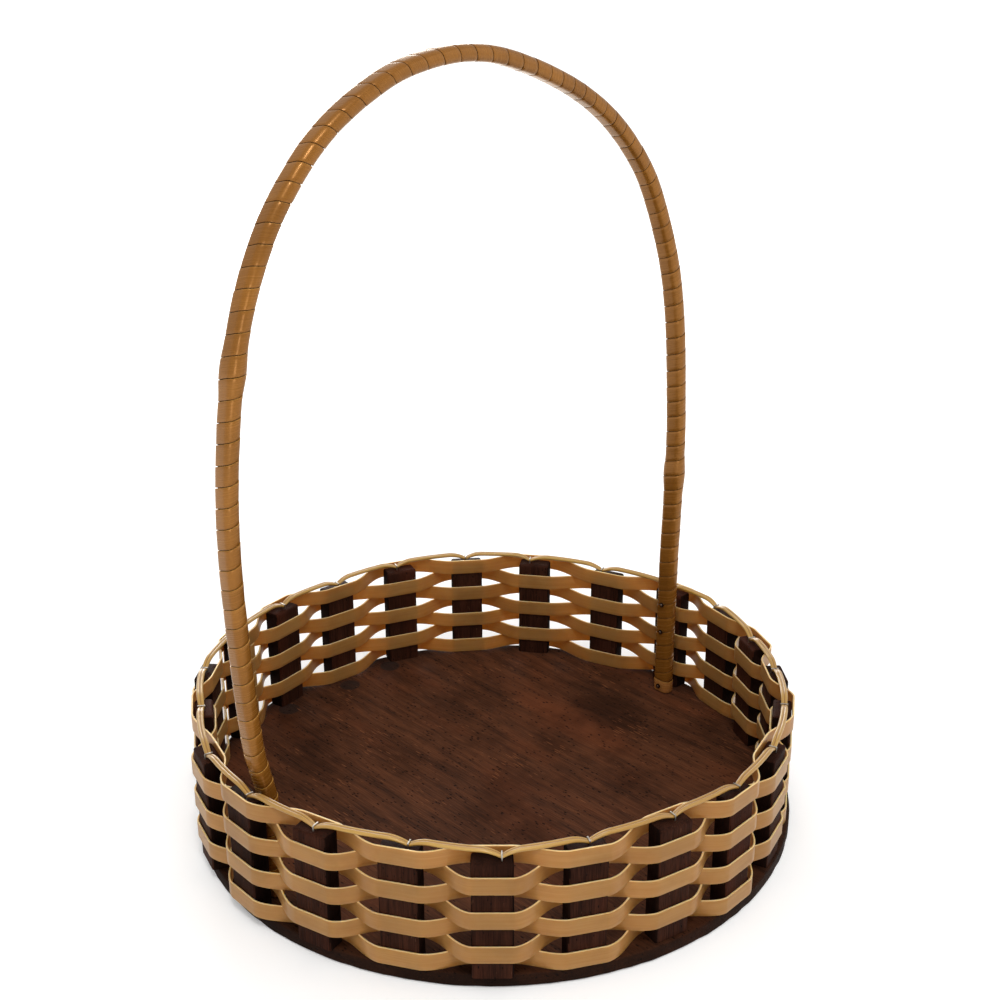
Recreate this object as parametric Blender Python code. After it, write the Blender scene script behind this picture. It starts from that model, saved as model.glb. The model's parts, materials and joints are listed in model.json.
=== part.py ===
"""Round serving basket with a tall arched handle.

A wooden disc carries a ring of short wooden stakes, each pinned from below.
Seven flat strips are woven in and out of the stakes, one above another, and a
ridged cane is stapled along the stake tops. The handle is a flat wooden core,
bent to an arch, wound with strip from foot to foot and nailed inside the wall.
Each stake carries its pin and its rim staple as one piece with it.

Metres, +Z up. The origin is the centre of the disc's underside. The handle
stands along the X axis.
"""

import math

import bmesh
import bpy
from mathutils import Matrix, Vector

# Base disc
BASE_DIAMETER = 0.300
BASE_THICKNESS = 0.0065
BASE_EDGE_EASE = 0.0008
BASE_SEGMENTS = 72

# Clearances
SEAT_GAP = 0.0003
FASTENER_CLEARANCE = 0.0003
CUT_OVERRUN = 0.001

# Stakes, counted round from the one behind the handle's +X leg
STAKE_COUNT = 23
STAKE_WIDTH = 0.0177
STAKE_THICKNESS = 0.009
STAKE_SETBACK = 0.0002
# How far the stakes stop below the top strip's edge, as a share of its width
STAKE_SHORT_SHARE = 0.3
STAKE_CORNER_CHAMFER = 0.0014
STAKE_TOP_CHAMFER = 0.0011
FIRST_STAKE_DEGREES = 7.65
# How far each stake stands from its even place, as shares of the spacing
STAKE_SHIFT_SHARES = (
    -0.325, -0.243, -0.11, -0.093, -0.073, -0.01, -0.02, -0.028,
    -0.04, -0.095, -0.025, -0.04, 0.02, 0.0, -0.02, -0.02,
    0.02, -0.01, -0.02, 0.02, -0.065, -0.19, -0.27,
)
# How far each stake stands in from the disc's edge, as shares of its
# thickness. Those below zero overhang the edge
STAKE_INSET_SHARES = (
    0.0, 0.14, 0.0, -0.22, -0.08, 0.22, 0.1, 0.03,
    -0.13, 0.23, -0.24, -0.28, -0.23, 0.08, -0.28, 0.1,
    0.23, 0.03, 0.17, 0.34, 0.28, 0.3, -0.19,
)
LAP_STAKE = 7
PLUS_LEG_STAKE = 0
MINUS_LEG_STAKE = 11

# Woven strips
ROW_COUNT = 7
STRIP_WIDTH = 0.0083
STRIP_THICKNESS = 0.0008
ROW_GAP = 0.0003
STRIP_BOW = 0.0007
STRIP_END_OVERRUN = 0.007
STRIP_CORNER_MARGIN = 0.0004
# Where a strip softens its bend as it crosses between two stakes, and how
# much of its side offset it still has there
CROSSING_BEND_SHARE = 0.14
CROSSING_OFFSET_SHARE = 0.86

# How far up a strip's width its end staples and the handle's nails sit
FASTENER_RISE_SHARE = 0.37

# Staples that hold the strip ends
STRIP_STAPLE_SPAN_SHARE = 0.53
STRIP_STAPLE_WIRE_WIDTH = 0.0012
STRIP_STAPLE_WIRE_THICKNESS = 0.0006
STRIP_STAPLE_BITE = 0.0032

# Rim cane
RIM_WIDTH = 0.0036
RIM_HEIGHT = 0.0024
RIM_PINCH = 0.0006
RIM_BUTT_GAP = 0.0006
# Where the cane bends between two stakes, as shares of the span
RIM_KNEE_SHARES = (0.2, 0.8)
# How far the cane lies outside each stake's middle, as shares of the stake's
# thickness
RIM_SHIFT_SHARES = (
    -0.06, -0.11, 0.02, 0.11, 0.04, -0.11, -0.11, 0.0,
    0.11, 0.11, 0.11, 0.11, 0.08, -0.01, 0.1, -0.04,
    -0.11, 0.03, 0.07, 0.11, -0.11, -0.11, -0.11,
)
# How far along its stake each rim staple sits, as shares of the stake's width
RIM_STAPLE_SHIFT_SHARES = (
    0.08, 0.17, 0.16, 0.04, 0.11, 0.0, 0.0, 0.0,
    0.07, 0.14, 0.25, 0.28, 0.07, 0.23, 0.23, 0.06,
    0.08, 0.06, 0.0, 0.0, 0.0, 0.04, 0.3,
)
# Section of the cane: two rounded ridges with a groove between them
RIM_PROFILE_SHARES = (
    (-0.28, 0.0), (0.28, 0.0), (0.5, 0.45), (0.27, 1.0),
    (0.0, 0.6), (-0.27, 1.0), (-0.5, 0.45),
)

# Staples over the rim cane
RIM_STAPLE_WIRE_WIDTH = 0.0012
RIM_STAPLE_WIRE_THICKNESS = 0.0006
RIM_STAPLE_BITE = 0.006

# Pins that hold the stakes from below
STAKE_PIN_WIDTH = 0.0016
STAKE_PIN_THICKNESS = 0.0012
STAKE_PIN_BITE = 0.014
# How far inside the stake's middle the pin stands
STAKE_PIN_INSET = 0.0015

# Handle
HANDLE_OFFSET = 0.0016
HANDLE_RISE = 0.3605
HANDLE_CORE_THICKNESS = 0.0053
HANDLE_CORE_WIDTH = 0.0098
HANDLE_CORE_CHAMFER = 0.0019
HANDLE_WALL_CLEARANCE = 0.0006
HANDLE_CORE_SAG = 0.00016
# The centre line from the -X foot to the +X foot, as shares of the half span
# and of the rise
HANDLE_PATH_SHARES = (
    (-1.017, 0.0), (-1.017, 0.08), (-1.017, 0.138), (-1.029, 0.164), (-1.043, 0.187),
    (-1.055, 0.21), (-1.063, 0.24), (-1.071, 0.28), (-1.085, 0.38), (-1.091, 0.48),
    (-1.079, 0.565), (-1.048, 0.656), (-1.007, 0.725), (-0.952, 0.784),
    (-0.868, 0.845), (-0.744, 0.903), (-0.624, 0.941), (-0.487, 0.970),
    (-0.366, 0.988), (-0.206, 0.999), (-0.082, 1.0), (0.048, 0.993),
    (0.228, 0.972), (0.42, 0.940), (0.581, 0.900), (0.731, 0.843),
    (0.826, 0.785), (0.92, 0.697), (0.972, 0.606), (1.002, 0.483),
    (1.01, 0.41), (1.006, 0.31), (1.0, 0.225), (1.0, 0.12), (1.0, 0.0),
)
PATH_SAMPLES_PER_SPAN = 24

# Winding of the handle
WRAP_PITCH = 0.0094
WRAP_WIDTH = 0.0088
WRAP_THICKNESS = 0.0007
WRAP_EDGE_LIFT = 0.0003
WRAP_FOOT_MARGIN = 0.001
WRAP_POINTS_PER_TURN = 8
# Where one length of strip gives way to the next, as shares of the path
WRAP_SPLICE_SHARES = (0.315, 0.60, 0.835)
WRAP_SPLICE_LIFT = 0.0008
WRAP_SPLICE_HALF_LENGTH = 0.014

# Nails through the handle's legs
NAIL_DIAMETER = 0.0014
NAIL_HEAD_DIAMETER = 0.0028
NAIL_HEAD_THICKNESS = 0.0005
NAIL_BITE = 0.006
NAIL_SIDES = 6
# Rows, counted from the top, whose outside pass leaves room for a nail
NAIL_ROWS = (1, 3, 7)

# Edges sharper than these stay sharp where the rest is shaded smooth
BOARD_SHARP_DEGREES = 30
STRIP_SHARP_DEGREES = 50
CANE_SHARP_DEGREES = 60

# Sizes worked out from the ones above
BASE_RADIUS = BASE_DIAMETER / 2
RING_RADIUS = BASE_RADIUS - STAKE_SETBACK - STAKE_THICKNESS / 2
STAKE_STEP = 2 * math.pi / STAKE_COUNT
STAKE_FOOT = BASE_THICKNESS + SEAT_GAP
ROW_PITCH = STRIP_WIDTH + ROW_GAP
WALL_TOP = BASE_THICKNESS + ROW_COUNT * ROW_PITCH
STAKE_TOP = WALL_TOP - STAKE_SHORT_SHARE * STRIP_WIDTH
STAKE_HEIGHT = STAKE_TOP - STAKE_FOOT
STRIP_STAPLE_SPAN = STRIP_STAPLE_SPAN_SHARE * STRIP_WIDTH
STRIP_OFFSET = STAKE_THICKNESS / 2 + SEAT_GAP + STRIP_THICKNESS / 2
WALL_INNER_RADIUS = RING_RADIUS - STRIP_OFFSET - STRIP_BOW - STRIP_THICKNESS / 2
WRAP_REACH = SEAT_GAP + WRAP_EDGE_LIFT + WRAP_THICKNESS
HANDLE_HALF_THICKNESS = HANDLE_CORE_THICKNESS / 2 + WRAP_REACH
HANDLE_HALF_SPAN = WALL_INNER_RADIUS - HANDLE_WALL_CLEARANCE - HANDLE_HALF_THICKNESS
RIM_SEAT = STAKE_TOP + SEAT_GAP
RIM_BOW = WALL_TOP + SEAT_GAP - RIM_SEAT


def clear_scene():
    """Remove every object that the file starts with."""
    for obj in list(bpy.data.objects):
        bpy.data.objects.remove(obj, do_unlink=True)


def make_material(name, colour, roughness, metallic=0.0):
    """Make a plain Principled material."""
    material = bpy.data.materials.new(name)
    material.use_nodes = True
    shader = material.node_tree.nodes["Principled BSDF"]
    shader.inputs["Base Color"].default_value = (*colour, 1.0)
    shader.inputs["Roughness"].default_value = roughness
    shader.inputs["Metallic"].default_value = metallic
    material.diffuse_color = (*colour, 1.0)
    return material


def mesh_object(name, bm, material):
    """Turn a bmesh into a named object with outward faces."""
    bmesh.ops.recalc_face_normals(bm, faces=bm.faces)
    mesh = bpy.data.meshes.new(name)
    bm.to_mesh(mesh)
    bm.free()
    if material is not None:
        mesh.materials.append(material)
    obj = bpy.data.objects.new(name, mesh)
    bpy.context.collection.objects.link(obj)
    return obj


def smooth_rounds(obj, sharp_degrees):
    """Shade an object smooth, with sharp edges past the given angle."""
    obj.data.shade_smooth()
    obj.data.set_sharp_from_angle(angle=math.radians(sharp_degrees))


def add_cut(target, cutter):
    """Cut one object by another with a live Boolean."""
    cut = target.modifiers.new(cutter.name, "BOOLEAN")
    cut.operation = "DIFFERENCE"
    cut.solver = "EXACT"
    cut.object = cutter


def as_cutter(obj):
    """Mark an object as a guide that only cuts."""
    obj.hide_render = True
    obj.display_type = "WIRE"
    return obj


def add_box(bm, size, matrix):
    """Add a box of the given size, centred on the matrix."""
    bmesh.ops.create_cube(bm, size=1.0, matrix=matrix @ Matrix.Diagonal((*size, 1.0)))


def add_loft(bm, rings):
    """Join rings of points with quads and close both ends."""
    loops = []
    for ring in rings:
        loops.append([bm.verts.new(point) for point in ring])
    sides = len(loops[0])
    for lower, upper in zip(loops, loops[1:]):
        for k in range(sides):
            following = (k + 1) % sides
            bm.faces.new((lower[k], lower[following], upper[following], upper[k]))
    bm.faces.new(list(reversed(loops[0])))
    bm.faces.new(loops[-1])


def add_staple(bm, matrix, span, wire_width, wire_thickness, bite, drop):
    """Add a staple whose crown lies along local Y and whose legs point to -Z.

    The crown's underside is at local z = 0. The legs reach `drop` down to the
    wood and `bite` into it.
    """
    half = span / 2
    inner = half - wire_thickness
    tip = -(drop + bite)
    outline = (
        (-half, tip), (-inner, tip), (-inner, 0.0), (inner, 0.0),
        (inner, tip), (half, tip), (half, wire_thickness), (-half, wire_thickness),
    )
    rings = []
    for side in (-wire_width / 2, wire_width / 2):
        rings.append([matrix @ Vector((side, y, z)) for y, z in outline])
    add_loft(bm, rings)


def add_staple_slots(bm, matrix, span, wire_width, wire_thickness, bite, drop):
    """Add the two slots that a staple's legs need."""
    length = drop + bite + FASTENER_CLEARANCE
    slot = (
        wire_width + 2 * FASTENER_CLEARANCE,
        wire_thickness + 2 * FASTENER_CLEARANCE,
        length,
    )
    for side in (-1, 1):
        centre = Vector((0.0, side * (span - wire_thickness) / 2, -length / 2))
        add_box(bm, slot, matrix @ Matrix.Translation(centre))


def share_of(shares, index):
    """A stake's entry in a table of shares, for any whole index."""
    return shares[index % STAKE_COUNT % len(shares)]


def stake_angle(index):
    """Angle of a stake about the basket's axis, for any whole index."""
    shift = share_of(STAKE_SHIFT_SHARES, index)
    return math.radians(FIRST_STAKE_DEGREES) + (index + shift) * STAKE_STEP


def stake_radius(index):
    """Distance of a stake's middle from the basket's axis."""
    return RING_RADIUS - share_of(STAKE_INSET_SHARES, index) * STAKE_THICKNESS


def rim_shift(index):
    """How far outside a stake's middle the rim cane lies."""
    return share_of(RIM_SHIFT_SHARES, index) * STAKE_THICKNESS


def rim_along(index):
    """How far along its stake a rim staple sits."""
    return share_of(RIM_STAPLE_SHIFT_SHARES, index) * STAKE_WIDTH


def stake_point(index, along, offset):
    """Plan point at a stake: `along` its face and `offset` outward."""
    angle = stake_angle(index)
    outward = Vector((math.cos(angle), math.sin(angle), 0.0))
    tangent = Vector((-math.sin(angle), math.cos(angle), 0.0))
    return outward * (stake_radius(index) + offset) + tangent * along


def rim_place(index):
    """Angle and radius at which the rim cane crosses a stake."""
    reach = stake_radius(index) + rim_shift(index)
    along = rim_along(index)
    return stake_angle(index) + math.atan2(along, reach), math.hypot(reach, along)


def row_bottom(row):
    """Height of a row's lower edge, row 1 being the top one."""
    return BASE_THICKNESS + ROW_GAP + (ROW_COUNT - row) * ROW_PITCH


def row_side(row, step):
    """Side on which a row passes its stake: +1 outside, -1 inside."""
    start = 1 if row % 2 else -1
    return start if step % 2 == 0 else -start


def build_base(material):
    """The wooden disc, with eased edges."""
    bm = bmesh.new()
    bmesh.ops.create_cone(
        bm, cap_ends=True, segments=BASE_SEGMENTS,
        radius1=BASE_RADIUS, radius2=BASE_RADIUS, depth=BASE_THICKNESS,
        matrix=Matrix.Translation((0.0, 0.0, BASE_THICKNESS / 2)),
    )
    rims = [edge for edge in bm.edges if abs(edge.verts[0].co.z - edge.verts[1].co.z) < SEAT_GAP]
    bmesh.ops.bevel(bm, geom=rims, offset=BASE_EDGE_EASE, segments=1, affect="EDGES")
    base = mesh_object("base_board", bm, material)
    smooth_rounds(base, BOARD_SHARP_DEGREES)
    return base


def stake_blank():
    """The plain stake: local X outward, Z up from the foot."""
    bm = bmesh.new()
    size = (STAKE_THICKNESS, STAKE_WIDTH, STAKE_HEIGHT)
    add_box(bm, size, Matrix.Translation((0.0, 0.0, STAKE_HEIGHT / 2)))
    uprights = [edge for edge in bm.edges if abs(edge.verts[0].co.z - edge.verts[1].co.z) > SEAT_GAP]
    bmesh.ops.bevel(bm, geom=uprights, offset=STAKE_CORNER_CHAMFER, segments=1, affect="EDGES")
    crown = [edge for edge in bm.edges if min(v.co.z for v in edge.verts) > STAKE_HEIGHT / 2]
    bmesh.ops.bevel(bm, geom=crown, offset=STAKE_TOP_CHAMFER, segments=1, affect="EDGES")
    return mesh_object("stake_blank", bm, None)


def rim_staple(shift, along):
    """The staple in a stake's top, astride the rim cane at its own place."""
    bm = bmesh.new()
    span = RIM_WIDTH + 2 * (SEAT_GAP + RIM_STAPLE_WIRE_THICKNESS)
    drop = RIM_HEIGHT - RIM_PINCH + 2 * SEAT_GAP
    crown = Matrix.Translation((shift, along, STAKE_HEIGHT + drop))
    astride = crown @ Matrix.Rotation(math.pi / 2, 4, "Z")
    add_staple(
        bm, astride, span, RIM_STAPLE_WIRE_WIDTH, RIM_STAPLE_WIRE_THICKNESS, RIM_STAPLE_BITE, drop
    )
    return mesh_object("rim_staple", bm, None)


def stake_pin():
    """The pin under a stake, which stands in the disc's hole."""
    bm = bmesh.new()
    length = STAKE_PIN_BITE + BASE_THICKNESS
    centre = Matrix.Translation((-STAKE_PIN_INSET, 0.0, STAKE_PIN_BITE - length / 2))
    add_box(bm, (STAKE_PIN_THICKNESS, STAKE_PIN_WIDTH, length), centre)
    return mesh_object("stake_pin", bm, None)


def stake_mesh(index, wood, steel):
    """Mesh of a stake with its pin and its own rim staple."""
    blank = stake_blank()
    helpers = [rim_staple(rim_shift(index), rim_along(index)), stake_pin()]
    for helper in helpers:
        join = blank.modifiers.new(helper.name, "BOOLEAN")
        join.operation = "UNION"
        join.solver = "EXACT"
        join.object = helper
    graph = bpy.context.evaluated_depsgraph_get()
    mesh = bpy.data.meshes.new_from_object(blank.evaluated_get(graph))
    mesh.name = "stake"
    mesh.materials.clear()
    mesh.materials.append(wood)
    mesh.materials.append(steel)
    for face in mesh.polygons:
        on_wood = SEAT_GAP > -face.center.z and face.center.z < STAKE_HEIGHT + SEAT_GAP / 2
        face.material_index = 0 if on_wood else 1
    for obj in [blank] + helpers:
        bpy.data.objects.remove(obj, do_unlink=True)
    return mesh


def build_stakes(wood, steel):
    """One object for each stake, numbered from the +X leg's stake."""
    stakes = []
    for index in range(STAKE_COUNT):
        mesh = stake_mesh(index, wood, steel)
        stake = bpy.data.objects.new(f"stake_{index + 1:02d}", mesh)
        stake.location = stake_point(index, 0.0, 0.0) + Vector((0.0, 0.0, STAKE_FOOT))
        stake.rotation_euler.z = stake_angle(index)
        bpy.context.collection.objects.link(stake)
        stakes.append(stake)
    return stakes


def build_pin_holes():
    """The cutter for the disc's pin holes, one under each stake."""
    bm = bmesh.new()
    play = 2 * FASTENER_CLEARANCE
    depth = BASE_THICKNESS + 2 * CUT_OVERRUN
    hole = (STAKE_PIN_THICKNESS + play, STAKE_PIN_WIDTH + play, depth)
    for index in range(STAKE_COUNT):
        centre = stake_point(index, 0.0, -STAKE_PIN_INSET) + Vector((0.0, 0.0, BASE_THICKNESS / 2))
        turn = Matrix.Rotation(stake_angle(index), 4, "Z")
        add_box(bm, hole, Matrix.Translation(centre) @ turn)
    return as_cutter(mesh_object("stake_pin_holes", bm, None))


def weave_points(row):
    """Plan centre line of a row, from its outer or inner start to its end."""
    corner = STAKE_WIDTH / 2 + STRIP_CORNER_MARGIN
    points = []
    for step in range(STAKE_COUNT + 1):
        index = LAP_STAKE + step
        offset = row_side(row, step) * STRIP_OFFSET
        bowed = offset + row_side(row, step) * STRIP_BOW
        if step == 0:
            points.append(stake_point(index, -STRIP_END_OVERRUN, offset))
            points.append(stake_point(index, 0.0, offset))
        elif step == STAKE_COUNT:
            points.append(stake_point(index, 0.0, offset))
            points.append(stake_point(index, STRIP_END_OVERRUN, offset))
            break
        else:
            points.append(stake_point(index, 0.0, bowed))
        leave = stake_point(index, corner, offset)
        arrive = stake_point(index + 1, -corner, -offset)
        run = arrive - leave
        outward = (leave + arrive).normalized()
        linear = 1 - 2 * CROSSING_BEND_SHARE
        soften = outward * offset * (CROSSING_OFFSET_SHARE - linear)
        points.append(leave)
        points.append(leave + run * CROSSING_BEND_SHARE + soften)
        points.append(arrive - run * CROSSING_BEND_SHARE - soften)
        points.append(arrive)
    return points


def mitres(points):
    """Mitred side vectors of a plan line, one for each point."""
    sides = []
    for before, after in zip(points, points[1:]):
        run = (after - before).normalized()
        sides.append(Vector((run.y, -run.x, 0.0)))
    result = [sides[0]]
    for first, second in zip(sides, sides[1:]):
        middle = (first + second).normalized()
        result.append(middle / middle.dot(first))
    result.append(sides[-1])
    return result


def strip_staple_frames(row):
    """Frames of the two staples at a row's ends, -Z pointing into the stake."""
    middle = row_bottom(row) + STRIP_WIDTH * FASTENER_RISE_SHARE
    crown = STAKE_THICKNESS / 2 + 2 * SEAT_GAP + STRIP_THICKNESS
    angle = stake_angle(LAP_STAKE)
    frames = []
    for step in (0, STAKE_COUNT):
        side = row_side(row, step)
        place = stake_point(LAP_STAKE, 0.0, side * crown)
        place.z = middle
        outward = Vector((math.cos(angle), math.sin(angle), 0.0)) * side
        up = Vector((0.0, 0.0, 1.0))
        along = up.cross(outward)
        turn = Matrix((along, up, outward)).transposed().to_4x4()
        frames.append(Matrix.Translation(place) @ turn)
    return frames


def build_strip_staples(material):
    """Staples that hold the strip ends, and the cutter for their slots."""
    slots = bmesh.new()
    drop = 2 * SEAT_GAP + STRIP_THICKNESS
    sizes = (
        STRIP_STAPLE_SPAN, STRIP_STAPLE_WIRE_WIDTH, STRIP_STAPLE_WIRE_THICKNESS,
        STRIP_STAPLE_BITE, drop,
    )
    for row in range(1, ROW_COUNT + 1):
        for end, frame in zip(("start", "end"), strip_staple_frames(row)):
            staple = bmesh.new()
            add_staple(staple, frame, *sizes)
            mesh_object(f"strip_staple_{row}_{end}", staple, material)
            add_staple_slots(slots, frame, *sizes)
    return as_cutter(mesh_object("strip_staple_slots", slots, None))


def build_rows(material, slots):
    """The woven strips, one object for each row from the top."""
    rows = []
    for row in range(1, ROW_COUNT + 1):
        points = weave_points(row)
        half = STRIP_THICKNESS / 2
        low = Vector((0.0, 0.0, row_bottom(row)))
        high = low + Vector((0.0, 0.0, STRIP_WIDTH))
        rings = []
        for point, side in zip(points, mitres(points)):
            out = point + side * half
            into = point - side * half
            rings.append((into + low, out + low, out + high, into + high))
        bm = bmesh.new()
        add_loft(bm, rings)
        strip = mesh_object(f"weaver_row_{row}", bm, material)
        smooth_rounds(strip, STRIP_SHARP_DEGREES)
        add_cut(strip, slots)
        rows.append(strip)
    return rows


def rim_ring(angle, radius, bow, height):
    """One section of the rim cane at an angle about the axis."""
    outward = Vector((math.cos(angle), math.sin(angle), 0.0))
    ring = []
    for radial, rise in RIM_PROFILE_SHARES:
        point = outward * (radius + radial * RIM_WIDTH)
        point.z = RIM_SEAT + bow + rise * height
        ring.append(point)
    return ring


def build_rim(material):
    """The ridged cane along the stake tops, pinched at every staple."""
    rings = []
    butt = RIM_BUTT_GAP / 2 / RING_RADIUS
    pinched = RIM_HEIGHT - RIM_PINCH
    for index in range(LAP_STAKE, LAP_STAKE + STAKE_COUNT):
        angle, radius = rim_place(index)
        next_angle, next_radius = rim_place(index + 1)
        turn = next_angle - angle
        widen = next_radius - radius
        opening = butt if index == LAP_STAKE else 0.0
        rings.append(rim_ring(angle + opening, radius, 0.0, pinched))
        for share in RIM_KNEE_SHARES:
            rings.append(rim_ring(angle + turn * share, radius + widen * share, RIM_BOW, RIM_HEIGHT))
    angle, radius = rim_place(LAP_STAKE + STAKE_COUNT)
    rings.append(rim_ring(angle - butt, radius, 0.0, pinched))
    bm = bmesh.new()
    add_loft(bm, rings)
    rim = mesh_object("rim_cane", bm, material)
    smooth_rounds(rim, CANE_SHARP_DEGREES)


class HandlePath:
    """The handle's centre line, read by the length run from the -X foot."""

    def __init__(self):
        corners = [self.corner(shares) for shares in HANDLE_PATH_SHARES]
        self.points = self.curve(corners)
        self.lengths = [0.0]
        for before, after in zip(self.points, self.points[1:]):
            self.lengths.append(self.lengths[-1] + (after - before).length)

    @staticmethod
    def corner(shares):
        """Real place of one pair of shares."""
        across, up = shares
        return Vector((across * HANDLE_HALF_SPAN, HANDLE_OFFSET, STAKE_FOOT + up * HANDLE_RISE))

    @staticmethod
    def curve(corners):
        """A smooth curve through the corners, as closely spaced points."""
        ends = [2 * corners[0] - corners[1]] + corners + [2 * corners[-1] - corners[-2]]
        points = []
        for p0, p1, p2, p3 in zip(ends, ends[1:], ends[2:], ends[3:]):
            for sample in range(PATH_SAMPLES_PER_SPAN):
                t = sample / PATH_SAMPLES_PER_SPAN
                slope = p2 - p0
                bend = 2 * p0 - 5 * p1 + 4 * p2 - p3
                twist = 3 * p1 - p0 - 3 * p2 + p3
                points.append(p1 + (slope * t + bend * t ** 2 + twist * t ** 3) / 2)
        points.append(corners[-1])
        return points

    @property
    def length(self):
        """Whole length from foot to foot."""
        return self.lengths[-1]

    def frame(self, run):
        """Point and outward normal at a length along the path."""
        low, high = 0, len(self.lengths) - 1
        while high - low > 1:
            middle = (low + high) // 2
            if self.lengths[middle] <= run:
                low = middle
            else:
                high = middle
        share = (run - self.lengths[low]) / (self.lengths[high] - self.lengths[low])
        point = self.points[low].lerp(self.points[high], share)
        before = self.points[max(low - 1, 0)]
        after = self.points[min(high + 1, len(self.points) - 1)]
        tangent = (after - before).normalized()
        return point, Vector((-tangent.z, 0.0, tangent.x))

    def leg_frame(self, side, height):
        """Point and outward normal at a height of the -X or +X leg."""
        samples = list(zip(self.points, self.lengths))[::-side]
        for point, run in samples:
            if point.z >= height:
                return self.frame(run)
        return self.frame(samples[0][1])

    def stations(self, sag):
        """Lengths along the path whose chords stay within `sag` of it."""
        runs = [0.0]
        first = 0
        for last in range(2, len(self.points)):
            start = self.points[first]
            chord = (self.points[last] - start).normalized()
            strays = ((p - start).cross(chord).length for p in self.points[first + 1:last])
            if max(strays) > sag:
                first = last - 1
                runs.append(self.lengths[first])
        return runs + [self.length]

    def place(self, run, outward, across):
        """Point at a length, offset outward and across the handle."""
        point, normal = self.frame(run)
        return point + normal * outward + Vector((0.0, across, 0.0))


def handle_section(reach):
    """Eight corners of the handle's section, `reach` outside the core."""
    thick = HANDLE_CORE_THICKNESS / 2
    wide = HANDLE_CORE_WIDTH / 2
    cut = HANDLE_CORE_CHAMFER
    edge = reach * math.tan(math.pi / 8)
    a, b = thick + reach, wide - cut + edge
    c, d = thick - cut + edge, wide + reach
    return ((a, -b), (a, b), (c, d), (-c, d), (-a, b), (-a, -b), (-c, -d), (c, -d))


def build_handle_core(path, material):
    """The bent wooden bar inside the winding."""
    rings = []
    for run in path.stations(HANDLE_CORE_SAG):
        rings.append([path.place(run, out, across) for out, across in handle_section(0.0)])
    bm = bmesh.new()
    add_loft(bm, rings)
    core = mesh_object("handle_core", bm, material)
    smooth_rounds(core, BOARD_SHARP_DEGREES)
    return core


def splice_lift(path, run):
    """How far the winding swells where one length of strip meets the next."""
    lift = 0.0
    for share in WRAP_SPLICE_SHARES:
        away = abs(run - share * path.length) / WRAP_SPLICE_HALF_LENGTH
        if away < 1:
            lift += WRAP_SPLICE_LIFT * (1 + math.cos(math.pi * away)) / 2
    return lift


def wrap_ring(path, start, station):
    """Section of the wound strip at one station: two points on each edge."""
    corner = -station % WRAP_POINTS_PER_TURN
    run = start + WRAP_PITCH * station / WRAP_POINTS_PER_TURN
    swell = splice_lift(path, run)
    ring = []
    for side, lift in ((-1, 0.0), (1, WRAP_EDGE_LIFT)):
        edge = run + side * WRAP_WIDTH / 2
        inner = SEAT_GAP + lift + swell
        for reach in (inner, inner + WRAP_THICKNESS):
            out, across = handle_section(reach)[corner]
            ring.append(path.place(edge, out, across))
    return (ring[0], ring[1], ring[3], ring[2])


def build_handle_wrap(path, material):
    """The strip wound round the core, one unbroken helix from foot to foot."""
    start = WRAP_FOOT_MARGIN + WRAP_WIDTH / 2
    turns = int((path.length - 2 * start) / WRAP_PITCH)
    rings = []
    for station in range(turns * WRAP_POINTS_PER_TURN + 1):
        rings.append(wrap_ring(path, start, station))
    least = min(
        min((ring[low] - after[high]).length for low, high in ((2, 1), (3, 0)))
        for ring, after in zip(rings, rings[WRAP_POINTS_PER_TURN:])
    )
    print(f"handle winding: {turns} turns, least gap to itself {least:.5f}")
    bm = bmesh.new()
    add_loft(bm, rings)
    wrap = mesh_object("handle_wrap", bm, material)
    smooth_rounds(wrap, STRIP_SHARP_DEGREES)
    return wrap


def nail_frames(path):
    """Frames of the nails: local Z runs outward, from the head's underside."""
    frames = []
    for side in (-1, 1):
        for row in NAIL_ROWS:
            height = row_bottom(row) + STRIP_WIDTH * FASTENER_RISE_SHARE
            point, normal = path.leg_frame(side, height)
            inner = point - normal * (HANDLE_HALF_THICKNESS + SEAT_GAP)
            turn = normal.to_track_quat("Z", "Y").to_matrix().to_4x4()
            frames.append(Matrix.Translation(inner) @ turn)
    return frames


def nail_length():
    """Length of a nail's shank: through the leg, across the wall and in."""
    through_leg = 2 * HANDLE_HALF_THICKNESS + SEAT_GAP
    to_stake = RING_RADIUS - STAKE_THICKNESS / 2 - (HANDLE_HALF_SPAN + HANDLE_HALF_THICKNESS)
    return through_leg + to_stake + NAIL_BITE


def add_rod(bm, frame, diameter, start, end):
    """Add a round bar along the frame's Z axis."""
    bmesh.ops.create_cone(
        bm, cap_ends=True, segments=NAIL_SIDES,
        radius1=diameter / 2, radius2=diameter / 2, depth=end - start,
        matrix=frame @ Matrix.Translation((0.0, 0.0, (start + end) / 2)),
    )


def nail_profile(length):
    """Points that turn into one nail, as radius and distance."""
    head = NAIL_HEAD_DIAMETER / 2
    shank = NAIL_DIAMETER / 2
    return ((head, -NAIL_HEAD_THICKNESS), (head, 0.0), (shank, 0.0), (shank, length))


def build_handle_nails(path, material):
    """The nails through both legs, and the cutter for their holes."""
    holes = bmesh.new()
    length = nail_length()
    for number, frame in enumerate(nail_frames(path), start=1):
        rings = []
        for radius, distance in nail_profile(length):
            ring = []
            for k in range(NAIL_SIDES):
                turn = 2 * math.pi * k / NAIL_SIDES
                local = Vector((radius * math.cos(turn), radius * math.sin(turn), distance))
                ring.append(frame @ local)
            rings.append(ring)
        nail = bmesh.new()
        add_loft(nail, rings)
        smooth_rounds(mesh_object(f"handle_nail_{number}", nail, material), STRIP_SHARP_DEGREES)
        bore = NAIL_DIAMETER + 2 * FASTENER_CLEARANCE
        add_rod(holes, frame, bore, -CUT_OVERRUN, length + FASTENER_CLEARANCE)
    return as_cutter(mesh_object("handle_nail_holes", holes, None))


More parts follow.
